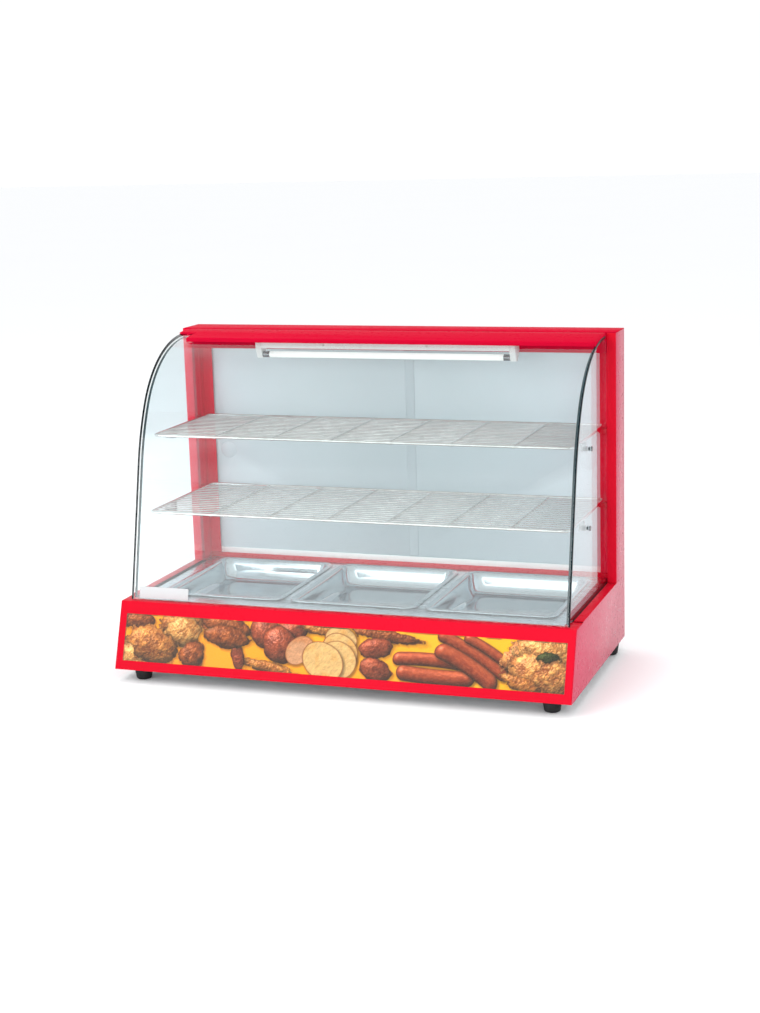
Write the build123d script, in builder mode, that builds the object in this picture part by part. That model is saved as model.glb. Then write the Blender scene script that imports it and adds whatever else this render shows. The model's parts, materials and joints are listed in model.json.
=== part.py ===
# Counter-top hot food display case: a low heated base, three food pans, two wire
# shelves, flat side glasses, a curved front glass that lifts on a top hinge and
# two sliding doors at the back.
# Frame: origin at the centre of the footprint on the counter, +X to the right,
# +Y to the back (the server's side), +Z up.  Millimetres.
import math
import os

from build123d import *

os.makedirs("parts", exist_ok=True)

# ------------------------------------------------------------------ dimensions
W, D, H = 900.0, 450.0, 640.0          # overall width, depth, height
T = 1.2                                # painted sheet steel
FOOT_H = 25.0                          # rubber foot height
FEET = [(-406.0, -190.0), (406.0, -190.0), (-430.0, 180.0), (430.0, 180.0)]
BZ0 = FOOT_H                           # underside of the base
BZ1 = 150.0                            # top of the base at the front
LEDGE_Z = 152.0                        # top of the side ledges
YF0, YF1 = -225.0, -181.5              # front face at the bottom and at the top
YB = 225.0                             # back edge of the side panels
YRP = 206.0                            # outer face of the recessed back panel
XO = W / 2                             # outer face of the side panels
LEDGE_X = 432.0                        # inner edge of the side ledges
LEDGE_Y0 = -130.0                      # front end of the side ledges

POST_Y0 = 150.0                        # front face of the rear posts
POST_XI = 432.0                        # inner face of the rear posts
ROOF_Z0 = 600.0                        # underside of the roof box

GX = 434.0                             # half width of the front glass
GT = 5.0                               # front glass thickness
G_Y0, G_Z0 = -170.5, 151.5             # bottom of its outer face
G_A0, G_L0 = 12.6, 262.0               # lean from the vertical and flat length
G_R1, G_A1 = 470.0, 27.0               # first bend
G_R2, G_A2 = 212.0, 88.0               # second bend
G_L3 = 24.0                            # flat run held by the hinge clamp

SGX0, SGX1 = 426.0, 431.0              # side glass, inner and outer face
SG_GAP = 3.0                           # between side glass edge and front glass
SG_Z0 = 144.0

HINGE_Y, HINGE_Z, HINGE_R = 145.0, 634.5, 4.5
CLAMP_X = 430.4                        # half width of the glass clamp
LIP_Y = 52.0                           # front face of the clamp's lip
NOTCH_X, NOTCH_Y = -396.0, 100.0       # the lip is cut back at its left corner

DECK_Z1 = 152.0                        # top of the stainless deck
DECK_T = 1.0
DECK_X = 423.0
DECK_Y0, DECK_Y1 = -163.0, 189.0
PAN_PITCH = 270.0
PAN_W, PAN_L, PAN_D = 256.0, 300.0, 42.0
PAN_Y = 26.0                           # centre of the pans
PAN_R = 24.0                           # corner radius of the rim

SHELF = {"upper": (456.0, -74.0, 189.6), "lower": (310.0, -107.0, 189.6)}
SHELF_X = 421.0                        # half width over the side rods
ROD_R, BAR_R, WIRE_R = 2.6, 2.0, 1.3
STUD_Y = {"upper": 18.0, "lower": 0.0}

DOOR_Z0, DOOR_Z1 = 162.7, 602.0
DOOR_T = 3.0
DOOR_IN_Y, DOOR_OUT_Y = 199.0, 206.0   # inner and outer door, front faces
DOOR_XE, DOOR_OVERLAP = 429.0, 12.0

LAMP_Y, LAMP_Z = 132.0, 591.4          # tube centre
LAMP_X0, LAMP_X1 = -276.0, 262.0       # outer ends of the tube holders


# ------------------------------------------------------------------- helpers
def glass_points():
    """Corner points of the front glass profile (y, z) and the tangent angles."""
    a0, a1, a2 = (math.radians(a) for a in (G_A0, G_A1, G_A2))
    p0 = (G_Y0, G_Z0)
    p1 = (p0[0] + G_L0 * math.sin(a0), p0[1] + G_L0 * math.cos(a0))
    p2 = (p1[0] + G_R1 * (math.cos(a0) - math.cos(a1)),
          p1[1] + G_R1 * (math.sin(a1) - math.sin(a0)))
    p3 = (p2[0] + G_R2 * (math.cos(a1) - math.cos(a2)),
          p2[1] + G_R2 * (math.sin(a2) - math.sin(a1)))
    p4 = (p3[0] + G_L3 * math.sin(a2), p3[1] + G_L3 * math.cos(a2))
    return p0, p1, p2, p3, p4


def off(p, a_deg, d):
    """Point p moved inwards (down and back) by d across a wall at that lean."""
    a = math.radians(a_deg)
    return (p[0] + d * math.cos(a), p[1] - d * math.sin(a))


def mid(p, a_deg, b_deg, r):
    """Middle of a bend of radius r that starts at p with lean a."""
    a, m = math.radians(a_deg), math.radians((a_deg + b_deg) / 2)
    return (p[0] + r * (math.cos(a) - math.cos(m)),
            p[1] + r * (math.sin(m) - math.sin(a)))


def glass_curve(d):
    """The glass profile offset inwards by d: start, bend middles and ends."""
    p0, p1, p2, p3, p4 = glass_points()
    m1, m2 = mid(p1, G_A0, G_A1, G_R1), mid(p2, G_A1, G_A2, G_R2)
    return (off(p0, G_A0, d), off(p1, G_A0, d),
            off(m1, (G_A0 + G_A1) / 2, d), off(p2, G_A1, d),
            off(m2, (G_A1 + G_A2) / 2, d), off(p3, G_A2, d), off(p4, G_A2, d))


def front_y(z):
    """Front face of the base at height z."""
    return YF0 + (YF1 - YF0) * (z - BZ0) / (BZ1 - BZ0)


SLOPE = math.degrees(math.atan2(YF1 - YF0, BZ1 - BZ0))      # base front lean
ZX = Plane.YZ                                               # profile plane


def save(piece, name):
    piece.part.label = name
    export_step(piece.part, f"parts/{name}.step")


# ======================================================================= base
with BuildPart() as base_bottom_plate:
    with BuildSketch(Plane.XY.offset(BZ0)):
        with Locations((0, (YF0 + 2.0 + YRP - 2) / 2)):
            Rectangle(W - 2 * T - 0.4, YRP - 2 - (YF0 + 2.0))
    extrude(amount=T)
    # folded-up edges along the two sides
    with BuildSketch(Plane.XY.offset(BZ0 + T)):
        for sx in (-1, 1):
            with Locations((sx * (XO - T - 0.2 - T / 2), -4.0)):
                Rectangle(T, 400.0)
    extrude(amount=14.0)
    # foot screw holes
    with Locations(*[Location((x, y, BZ0 + T)) for x, y in FEET]):
        Hole(radius=2.7, depth=T)
    # ventilation slots under the heater
    with BuildSketch(Plane.XY.offset(BZ0)):
        with GridLocations(26.0, 180.0, 12, 2):
            SlotOverall(60.0, 6.0, rotation=90)
    extrude(amount=T, mode=Mode.SUBTRACT)
save(base_bottom_plate, "base_bottom_plate")


def base_side(sx):
    with BuildPart() as side:
        # outer skin, leaning front edge
        with BuildSketch(ZX.offset(sx * (XO - T) if sx > 0 else -XO)):
            with BuildLine():
                Polyline((YF0, BZ0), (YB, BZ0), (YB, LEDGE_Z), (LEDGE_Y0, LEDGE_Z),
                         (LEDGE_Y0, BZ1), (YF1, BZ1), close=True)
            make_face()
        extrude(amount=T)
        # ledge, its inner lip and the bottom return
        xm = sx * (XO + LEDGE_X) / 2
        with BuildSketch(Plane.XY.offset(LEDGE_Z - T)):
            with Locations((xm, (LEDGE_Y0 + YB) / 2)):
                Rectangle(XO - LEDGE_X, YB - LEDGE_Y0)
        extrude(amount=T)
        with BuildSketch(Plane.XY.offset(138.0)):
            with Locations((sx * (LEDGE_X + T / 2), (LEDGE_Y0 + YB) / 2)):
                Rectangle(T, YB - LEDGE_Y0)
        extrude(amount=LEDGE_Z - T - 138.0)
        # rear return flange
        with BuildSketch(Plane.XY.offset(BZ0 + T + 0.4)):
            with Locations((sx * (XO - 9.0), YB - T / 2)):
                Rectangle(18.0, T)
        extrude(amount=LEDGE_Z - T - (BZ0 + T + 0.4))
    return side


base_side_left = base_side(-1)
save(base_side_left, "base_side_left")
base_side_right = base_side(1)
save(base_side_right, "base_side_right")

# Front: one folded sheet between the side panels - leaning face with a shallow
# frame around the printed panel, top flange under the front glass.
FX = XO - T - 0.15
with BuildPart() as base_front_frame:
    with BuildSketch(ZX.offset(-FX)):
        with BuildLine():
            c, s = math.cos(math.radians(SLOPE)), math.sin(math.radians(SLOPE))
            Polyline((YF0, BZ0), (YF1, BZ1), (LEDGE_Y0 - 0.3, BZ1), (LEDGE_Y0 - 0.3, BZ1 - T),
                     (YF1 + T * 0.75, BZ1 - T), (YF0 + T / c, BZ0), close=True)
        make_face()
    extrude(amount=2 * FX)
save(base_front_frame, "base_front_frame")

# Printed picture panel bonded to the front face.
PAN_T0, PAN_T1 = 18.0, 108.5           # bottom and top edge, measured up the slope
slope_plane = Plane(origin=(0, YF0, BZ0), x_dir=(1, 0, 0),
                    z_dir=(0, -math.cos(math.radians(SLOPE)), math.sin(math.radians(SLOPE))))
with BuildPart() as front_graphic_panel:
    with BuildSketch(slope_plane.offset(0.02)):
        with Locations((0, (PAN_T0 + PAN_T1) / 2)):
            RectangleRounded(870.0, PAN_T1 - PAN_T0, 1.5)
    extrude(amount=0.8)
save(front_graphic_panel, "front_graphic_panel")

# Back panel of the base, recessed so that the controls don't touch a wall.
KNOB_X, PR_X, LR_X, PILOT_X, GLAND_X = 250.0, 320.0, 360.0, 200.0, 400.0
CTRL_Z = 92.0
with BuildPart() as base_rear_panel:
    with BuildSketch(Plane.XZ.offset(-YRP)):
        with Locations((0, (BZ0 + 142.0) / 2)):
            Rectangle(2 * (LEDGE_X - 1.0), 142.0 - BZ0)
        with Locations((KNOB_X, CTRL_Z)):
            Circle(3.6, mode=Mode.SUBTRACT)
        for x in (PR_X, LR_X):
            with Locations((x, CTRL_Z)):
                Rectangle(14.4, 20.4, mode=Mode.SUBTRACT)
        with Locations((PILOT_X, CTRL_Z)):
            Circle(5.2, mode=Mode.SUBTRACT)
        with Locations((GLAND_X, 55.0)):
            Circle(8.1, mode=Mode.SUBTRACT)
        # louvres
        with Locations((-230, 92.0)):
            with GridLocations(0, 14.0, 1, 5):
                SlotOverall(160.0, 5.0, mode=Mode.SUBTRACT)
    extrude(amount=T)
    # side returns that screw to the side panels
    with BuildSketch(Plane.XY.offset(BZ0 + 20)):
        for sx in (-1, 1):
            with Locations((sx * (LEDGE_X - 1.0 - T / 2), YRP - T - 6.0)):
                Rectangle(T, 12.0)
    extrude(amount=80.0)
save(base_rear_panel, "base_rear_panel")

# Red cross rail over the back panel: carries the door track.
with BuildPart() as rear_rail:
    with BuildSketch(ZX.offset(-LEDGE_X + 0.3)):
        with BuildLine():
            Polyline((190.0, 143.0), (190.0, 160.0), (224.5, 160.0), (224.5, 143.0),
                     (223.3, 143.0), (223.3, 158.8), (191.2, 158.8), (191.2, 143.0), close=True)
        make_face()
    extrude(amount=2 * (LEDGE_X - 0.3))
save(rear_rail, "rear_rail")

# ==================================================================== deck
DECK_MID = (DECK_Y0 + DECK_Y1) / 2
with BuildPart() as deck_frame:
    with BuildSketch(Plane.XY.offset(DECK_Z1 - DECK_T)):
        with Locations((0, DECK_MID)):
            Rectangle(2 * DECK_X, DECK_Y1 - DECK_Y0)
        with Locations((0, PAN_Y)):
            with GridLocations(PAN_PITCH, 0, 3, 1):
                RectangleRounded(PAN_W - 12.0, PAN_L - 12.0, PAN_R - 6.0, mode=Mode.SUBTRACT)
    extrude(amount=DECK_T)
    # turned-down edges
    with BuildSketch(Plane.XY.offset(DECK_Z1 - 14.0)):
        with Locations((0, DECK_MID)):
            Rectangle(2 * DECK_X, DECK_Y1 - DECK_Y0)
            Rectangle(2 * DECK_X - 2 * DECK_T, DECK_Y1 - DECK_Y0 - 2 * DECK_T, mode=Mode.SUBTRACT)
        # clear of the front flange
        with Locations((0, DECK_Y0)):
            Rectangle(2 * W, 2.0 * (LEDGE_Y0 - DECK_Y0 + 2.0), mode=Mode.SUBTRACT)
    extrude(amount=14.0 - DECK_T)
save(deck_frame, "deck_frame")


def pan(x0):
    """Pressed stainless pan with a rolled rim that hangs on the deck."""
    zr = DECK_Z1 + 0.3                       # underside of the rim
    wt = 0.8
    with BuildPart() as p:
        # rim plate
        with BuildSketch(Plane.XY.offset(zr + 1.8)):
            with Locations((x0, PAN_Y)):
                RectangleRounded(PAN_W, PAN_L, PAN_R)
        extrude(amount=wt)
        # outer edge rolled down
        with BuildSketch(Plane.XY.offset(zr)):
            with Locations((x0, PAN_Y)):
                RectangleRounded(PAN_W, PAN_L, PAN_R)
                RectangleRounded(PAN_W - 2 * wt, PAN_L - 2 * wt, PAN_R - wt, mode=Mode.SUBTRACT)
        extrude(amount=1.8)
        # tapered bowl
        with BuildSketch(Plane.XY.offset(zr + 1.8)):
            with Locations((x0, PAN_Y)):
                RectangleRounded(PAN_W - 18.0, PAN_L - 18.0, PAN_R - 4.0)
        extrude(amount=-PAN_D, taper=9.0)
        # hollow it from above
        with BuildSketch(Plane.XY.offset(zr + 1.8 + wt)):
            with Locations((x0, PAN_Y)):
                RectangleRounded(PAN_W - 18.0 - 2 * wt, PAN_L - 18.0 - 2 * wt, PAN_R - 4.0 - wt)
        extrude(amount=-PAN_D, taper=9.0, mode=Mode.SUBTRACT)
    return p


pan_left = pan(-PAN_PITCH)
save(pan_left, "pan_left")
pan_centre = pan(0.0)
save(pan_centre, "pan_centre")
pan_right = pan(PAN_PITCH)
save(pan_right, "pan_right")

# ==================================================================== posts
def post(sx):
    """Closed box post with a shallow fold down its inner face."""
    x0, x1 = (POST_XI, XO) if sx > 0 else (-XO, -POST_XI)
    with BuildPart() as p:
        with BuildSketch(Plane.XY.offset(LEDGE_Z + 0.1)):
            with Locations(((x0 + x1) / 2, (POST_Y0 + YB) / 2)):
                Rectangle(XO - POST_XI, YB - POST_Y0)
                Rectangle(XO - POST_XI - 2 * T, YB - POST_Y0 - 2 * T, mode=Mode.SUBTRACT)
        extrude(amount=H - T - 0.2 - (LEDGE_Z + 0.1))
        # stop for the sliding door on the inner face
        xi = sx * POST_XI
        with BuildSketch(Plane.XY.offset(LEDGE_Z + 9.0)):
            with Locations((xi - sx * 3.0, 196.2)):
                Rectangle(6.0, 1.2)
            with Locations((xi - sx * 0.6, 188.0)):
                Rectangle(1.2, 17.5)
        extrude(amount=ROOF_Z0 - 2 - (LEDGE_Z + 9.0))
    return p


post_left = post(-1)
save(post_left, "post_left")
post_right = post(1)
save(post_right, "post_right")


def stile(sx):
    """Angle strip in front of the door's outer edge."""
    with BuildPart() as p:
        with BuildSketch(Plane.XY.offset(LEDGE_Z + 8.6)):
            with Locations((sx * (POST_XI - 2.0 - 10.75), 194.9)):
                Rectangle(21.5, 1.0)
            with Locations((sx * (POST_XI - 2.0 - 0.5), 191.7)):
                Rectangle(1.0, 5.6)
        extrude(amount=ROOF_Z0 - 0.5 - (LEDGE_Z + 8.6))
    return p


rear_stile_left = stile(-1)
save(rear_stile_left, "rear_stile_left")
rear_stile_right = stile(1)
save(rear_stile_right, "rear_stile_right")

# ===================================================================== roof
with BuildPart() as top_cover:
    with BuildSketch(Plane.XY.offset(H - T)):
        with Locations((0, (POST_Y0 + YB) / 2)):
            Rectangle(W, YB - POST_Y0)
    extrude(amount=T)
    # front fascia with a bottom return, back fascia
    with BuildSketch(ZX.offset(-(POST_XI - 0.3))):
        with BuildLine():
            Polyline((POST_Y0, H - T), (POST_Y0, ROOF_Z0), (POST_Y0 + 12.0, ROOF_Z0),
                     (POST_Y0 + 12.0, ROOF_Z0 + T), (POST_Y0 + T, ROOF_Z0 + T),
                     (POST_Y0 + T, H - T), close=True)
        make_face()
        with BuildLine():
            Polyline((YB, H - T), (YB, ROOF_Z0 + 10), (YB - T, ROOF_Z0 + 10),
                     (YB - T, H - T), close=True)
        make_face()
    extrude(amount=2 * (POST_XI - 0.3))
save(top_cover, "top_cover")

with BuildPart() as top_inner_liner:
    with BuildSketch(ZX.offset(-(POST_XI - 1.0))):
        with BuildLine():
            Polyline((POST_Y0 + 2, ROOF_Z0 + 1.5), (194.0, ROOF_Z0 + 1.5), (194.0, ROOF_Z0 + 20),
                     (195.0, ROOF_Z0 + 20), (195.0, ROOF_Z0 + 0.5), (POST_Y0 + 13, ROOF_Z0 + 0.5),
                     (POST_Y0 + 13, ROOF_Z0 + 1.4), (POST_Y0 + 2, ROOF_Z0 + 1.4), close=True)
        make_face()
    extrude(amount=2 * (POST_XI - 1.0))
save(top_inner_liner, "top_inner_liner")

# ===================================================== hinge and front glass
RS = HINGE_R + 0.06                    # socket bore radius
with BuildPart() as hinge_fixed_profile:
    with BuildSketch(ZX.offset(-CLAMP_X)):
        with BuildLine():
            Polyline((POST_Y0 - 0.1, 625.0), (POST_Y0 - 0.1, H - 0.05), (HINGE_Y + 0.5, H - 0.05),
                     (HINGE_Y + 0.5, 625.0), close=True)
        make_face()
        with Locations((HINGE_Y, HINGE_Z)):
            Circle(RS + 1.4)
        # keep everything behind the fascia plane
        with Locations((POST_Y0 - 0.1 + 10, HINGE_Z)):
            Rectangle(20, 60, mode=Mode.SUBTRACT)
        with Locations((HINGE_Y, HINGE_Z)):
            Circle(RS, mode=Mode.SUBTRACT)
        # mouth for the moving leaf: from just below level, over the top, to 25 degrees
        with BuildLine():
            Polyline((HINGE_Y, HINGE_Z), (HINGE_Y - 30, HINGE_Z - 9.0), (HINGE_Y - 30, HINGE_Z + 30),
                     (HINGE_Y + 27.2, HINGE_Z + 30), (HINGE_Y + 27.2, HINGE_Z + 12.7), close=True)
        make_face(mode=Mode.SUBTRACT)
        # the top never stands above the roof
        with Locations((HINGE_Y, H + 5)):
            Rectangle(60, 10, mode=Mode.SUBTRACT)
    extrude(amount=2 * CLAMP_X)
save(hinge_fixed_profile, "hinge_fixed_profile")

q0, q1, qm1, q2, qm2, q3, q4 = glass_curve(0.0)
r0, r1, rm1, r2, rm2, r3, r4 = glass_curve(GT)
with BuildPart() as front_glass:
    with BuildSketch(ZX.offset(-GX)):
        with BuildLine():
            Line(q0, q1)
            ThreePointArc(q1, qm1, q2)
            ThreePointArc(q2, qm2, q3)
            Line(q3, q4)
            Line(q4, r4)
            Line(r4, r3)
            ThreePointArc(r3, rm2, r2)
            ThreePointArc(r2, rm1, r1)
            Line(r1, r0)
            Line(r0, q0)
        make_face()
    extrude(amount=2 * GX)
    # ground corners at the bottom
    fillet(front_glass.edges().filter_by(lambda e: abs(e.center().Z - G_Z0) < 1.5
           and abs(abs(e.center().X) - GX) < 0.1 and abs(e.length - GT) < 0.3), radius=4.0)
save(front_glass, "front_glass")

# outer surface height of the glass at a given y near the top
def glass_top_z(y):
    a1 = math.radians(G_A1)
    p2 = glass_points()[2]
    p3 = glass_points()[3]
    if y >= p3[0]:
        return p3[1] + (y - p3[0]) / math.tan(math.radians(G_A2))
    th = math.acos(math.cos(a1) - (y - p2[0]) / G_R2)
    return p2[1] + G_R2 * (math.sin(th) - math.sin(a1))


LIP_ZB = glass_top_z(LIP_Y) + 0.35
LEAF_Y1 = 125.0                        # behind this line the leaf's top is level


def leaf_top_z(y):
    return H - 0.4 - max(0.0, LEAF_Y1 - y) * 6.7 / (LEAF_Y1 - LIP_Y - 1.0)


with BuildPart() as glass_clamp_profile:
    with BuildSketch(ZX.offset(-CLAMP_X + 0.4)):
        with BuildLine():
            Polyline((HINGE_Y - 0.9, H - 0.4), (LEAF_Y1, H - 0.4), (LIP_Y + 1.0, leaf_top_z(LIP_Y + 1.0)),
                     (LIP_Y, leaf_top_z(LIP_Y) - 0.8),
                     (LIP_Y, LIP_ZB), (LIP_Y + 2.0, glass_top_z(LIP_Y + 2.0) + 0.35),
                     (LIP_Y + 2.0, 630.4), (LIP_Y + 4.0, 631.4), (122.0, 638.3), (HINGE_Y - 9.0, 638.3),
                     (HINGE_Y - 6.5, HINGE_Z - 0.6), (HINGE_Y, HINGE_Z - 0.6), close=True)
        make_face()
        with Locations((HINGE_Y, HINGE_Z)):
            Circle(HINGE_R)
    extrude(amount=2 * (CLAMP_X - 0.4))
    # left front corner cut back, then closed again by two thin walls
    with BuildSketch(Plane.XY.offset(620.0)):
        with Locations(((NOTCH_X - W / 2) / 2, NOTCH_Y / 2)):
            Rectangle(NOTCH_X + W / 2, NOTCH_Y)
    extrude(amount=25.0, mode=Mode.SUBTRACT)
    with BuildSketch(ZX.offset(-CLAMP_X + 0.4)):
        with BuildLine():
            Polyline((NOTCH_Y, leaf_top_z(NOTCH_Y)), (NOTCH_Y, glass_top_z(NOTCH_Y) + 0.35),
                     (NOTCH_Y + 1.3, glass_top_z(NOTCH_Y + 1.3) + 0.35), (NOTCH_Y + 1.3, leaf_top_z(NOTCH_Y + 1.3)), close=True)
        make_face()
    extrude(amount=NOTCH_X + CLAMP_X - 0.4)
    with BuildSketch(ZX.offset(NOTCH_X)):
        with BuildLine():
            Polyline((LIP_Y + 0.5, leaf_top_z(LIP_Y) - 0.9), (LIP_Y + 1.0, leaf_top_z(LIP_Y + 1.0)),
                     (NOTCH_Y + 1.3, leaf_top_z(NOTCH_Y + 1.3)), (NOTCH_Y + 1.3, glass_top_z(NOTCH_Y + 1.3) + 0.35),
                     (NOTCH_Y, glass_top_z(NOTCH_Y) + 0.45), (LIP_Y + 24.0, glass_top_z(LIP_Y + 24.0) + 0.5),
                     (LIP_Y + 0.5, LIP_ZB + 0.4), close=True)
        make_face()
    extrude(amount=1.3)
save(glass_clamp_profile, "glass_clamp_profile")

STRIP_Y0, STRIP_Y1 = 108.0, 131.0
with BuildPart() as clamp_gasket:
    with BuildSketch(ZX.offset(-CLAMP_X + 6)):
        with BuildLine():
            Polyline((STRIP_Y0, glass_top_z(STRIP_Y0) + 0.05), (STRIP_Y1, glass_top_z(STRIP_Y1) + 0.05),
                     (STRIP_Y1, 638.2), (122.0, 638.2), (STRIP_Y0, 636.7), close=True)
        make_face()
    extrude(amount=2 * (CLAMP_X - 6))
save(clamp_gasket, "clamp_gasket")

with BuildPart() as glass_clamp_strip:
    with BuildSketch(ZX.offset(-CLAMP_X + 6)):
        with BuildLine():
            zs0, zs1 = glass_top_z(STRIP_Y0) - GT - 0.06, glass_top_z(STRIP_Y1) - GT - 0.06
            Polyline((STRIP_Y0, zs0), (STRIP_Y1 + 3.5, zs1 + 0.1), (STRIP_Y1 + 3.5, zs1 - 2.4),
                     (STRIP_Y0, zs0 - 2.4), close=True)
        make_face()
    extrude(amount=2 * (CLAMP_X - 6))
save(glass_clamp_strip, "glass_clamp_strip")

with BuildPart() as clamp_end_caps:
    for sx in (-1, 1):
        yf = LIP_Y if sx > 0 else NOTCH_Y
        low = ([(yf + 0.4, LIP_ZB + 0.3), (LIP_Y + 20.0, glass_top_z(LIP_Y + 20.0) + 0.6),
                (LIP_Y + 45.0, glass_top_z(LIP_Y + 45.0) + 0.6)] if sx > 0
               else [(yf + 0.4, glass_top_z(yf) + 0.6)])
        with BuildSketch(ZX.offset(sx * (CLAMP_X - 0.2) if sx > 0 else -(CLAMP_X - 0.2) - 3.4)):
            with BuildLine():
                Polyline((HINGE_Y - 11.0, H - 0.7), (LEAF_Y1, H - 0.7), (yf + 1.6, leaf_top_z(yf + 1.6) - 0.3),
                         (yf + 0.4, leaf_top_z(yf) - 1.2), *low,
                         (HINGE_Y - 11.0, glass_top_z(133.0) + 0.6), close=True)
            make_face()
        extrude(amount=3.4)
save(clamp_end_caps, "clamp_end_caps")

with BuildPart() as clamp_screws:
    for x in (-400, -200, 0, 200, 400):
        with BuildSketch(Plane.XY.offset(624.0)):
            with Locations((x, 122.0)):
                Circle(3.0)
        extrude(amount=zs0 - 2.45 - 624.0)
        with BuildSketch(Plane.XY.offset(624.0)):
            with Locations((x, 122.0)):
                Rectangle(4.2, 0.8)
        extrude(amount=0.6, mode=Mode.SUBTRACT)
save(clamp_screws, "clamp_screws")

# Price-ticket plate stuck to the lower left of the front glass.
glass_plane = Plane(origin=(0, G_Y0, G_Z0), x_dir=(1, 0, 0),
                    z_dir=(0, -math.cos(math.radians(G_A0)), math.sin(math.radians(G_A0))))
with BuildPart() as label_plate:
    with BuildSketch(glass_plane.offset(0.15)):
        with Locations((-365.0, 14.5)):
            RectangleRounded(103.0, 22.0, 1.5)
    extrude(amount=1.0)
save(label_plate, "label_plate")

# =============================================================== side glasses
SGO = GT + SG_GAP
s0, s1, sm1, s2, sm2, s3, s4 = glass_curve(SGO)


def side_glass(sx):
    # the curved front edge, carried down to the channel in the ledge
    t = (s0[1] - SG_Z0) / math.cos(math.radians(G_A0))
    low = (s0[0] - t * math.sin(math.radians(G_A0)), SG_Z0)
    low = (max(low[0], LEDGE_Y0 - 30.0), SG_Z0)
    with BuildPart() as p:
        with BuildSketch(ZX.offset(SGX0 if sx > 0 else -SGX1)):
            with BuildLine():
                Line((s0[0] + 4.0 * math.sin(math.radians(G_A0)), s0[1] + 4.0 * math.cos(math.radians(G_A0))), s1)
                ThreePointArc(s1, sm1, s2)
                ThreePointArc(s2, sm2, s3)
                Line(s3, s4)
                Line(s4, (POST_Y0 - 9.6, s4[1]))
                Line((POST_Y0 - 9.6, s4[1]), (POST_Y0 - 9.6, 620.0))
                Line((POST_Y0 - 9.6, 620.0), (POST_Y0 - 1.0, 620.0))
                Line((POST_Y0 - 1.0, 620.0), (POST_Y0 - 1.0, SG_Z0))
                Line((POST_Y0 - 1.0, SG_Z0), (LEDGE_Y0 + 1.0, SG_Z0))
                Line((LEDGE_Y0 + 1.0, SG_Z0), (LEDGE_Y0 + 1.0, 152.6))
                Line((LEDGE_Y0 + 1.0, 152.6), (s0[0] + 4.0 * math.sin(math.radians(G_A0)) + 0.5, 152.6))
                Line((s0[0] + 4.0 * math.sin(math.radians(G_A0)) + 0.5, 152.6),
                     (s0[0] + 4.0 * math.sin(math.radians(G_A0)), s0[1] + 4.0 * math.cos(math.radians(G_A0))))
            make_face()
        extrude(amount=SGX1 - SGX0)
        # holes for the shelf studs
        for key in SHELF:
            with Locations(Plane(origin=(sx * SGX1, STUD_Y[key], SHELF[key][0] - 16.0), z_dir=(sx, 0, 0))):
                Hole(radius=3.0, depth=SGX1 - SGX0)
    return p


side_glass_left = side_glass(-1)
save(side_glass_left, "side_glass_left")
side_glass_right = side_glass(1)
save(side_glass_right, "side_glass_right")


def glass_gasket(sx):
    """Black rubber channel under the side glass."""
    xa, xb = 424.0, 431.7
    with BuildPart() as p:
        with BuildSketch(Plane.XY.offset(141.5)):
            with Locations((sx * (xa + xb) / 2, (LEDGE_Y0 + POST_Y0) / 2)):
                Rectangle(xb - xa, POST_Y0 - LEDGE_Y0 - 1.0)
        extrude(amount=11.3)
        with BuildSketch(Plane.XY.offset(SG_Z0 - 0.1)):
            with Locations((sx * (SGX0 + SGX1) / 2, (LEDGE_Y0 + POST_Y0) / 2)):
                Rectangle(SGX1 - SGX0 + 0.1, POST_Y0 - LEDGE_Y0 + 4.0)
        extrude(amount=20.0, mode=Mode.SUBTRACT)
    return p


glass_gasket_left = glass_gasket(-1)
save(glass_gasket_left, "glass_gasket_left")
glass_gasket_right = glass_gasket(1)
save(glass_gasket_right, "glass_gasket_right")

# ====================================================================== lamp
HY0, HY1, HZ0, HZ1 = 119.0, 149.4, 605.0, 620.5
with BuildPart() as lamp_housing:
    with BuildSketch(ZX.offset(LAMP_X0 + 12.0)):
        with BuildLine():
            Polyline((HY0, HZ0), (HY1, HZ0), (HY1, HZ1), (HY0 + 3.0, HZ1), (HY0, HZ1 - 3.0), close=True)
        make_face()
        with Locations(((HY0 + HY1) / 2 + 0.5, (HZ0 + HZ1) / 2)):
            Rectangle(HY1 - HY0 - 3.4, HZ1 - HZ0 - 2.4, mode=Mode.SUBTRACT)
    extrude(amount=LAMP_X1 - LAMP_X0 - 24.0)
save(lamp_housing, "lamp_housing")

with BuildPart() as lamp_holders:
    for xa in (LAMP_X0, LAMP_X1 - 11.8):
        with BuildSketch(ZX.offset(xa)):
            with BuildLine():
                Polyline((HY0 - 0.6, HZ0 + 2.0), (HY0 - 0.6, HZ1), (HY1, HZ1), (HY1, HZ0 - 2.0),
                         (LAMP_Y + 8.0, LAMP_Z - 2.0), (LAMP_Y + 4.0, LAMP_Z - 7.0),
                         (LAMP_Y - 4.0, LAMP_Z - 7.0), (LAMP_Y - 8.0, LAMP_Z - 2.0), close=True)
            make_face()
        extrude(amount=11.8)
    # round recess that takes the turning end cap
    for xa in (LAMP_X0 + 5.8, LAMP_X1 - 11.8):
        with BuildSketch(ZX.offset(xa)):
            with Locations((LAMP_Y, LAMP_Z)):
                Circle(5.2)
        extrude(amount=6.0, mode=Mode.SUBTRACT)
save(lamp_holders, "lamp_holders")

TX0, TX1 = LAMP_X0 + 11.0, LAMP_X1 - 11.0
with BuildPart() as lamp_tube:
    with BuildSketch(ZX.offset(TX0 + 15.0)):
        with Locations((LAMP_Y, LAMP_Z)):
            Circle(6.2)
            Circle(5.4, mode=Mode.SUBTRACT)
    extrude(amount=TX1 - TX0 - 30.0)
save(lamp_tube, "lamp_tube")

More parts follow.
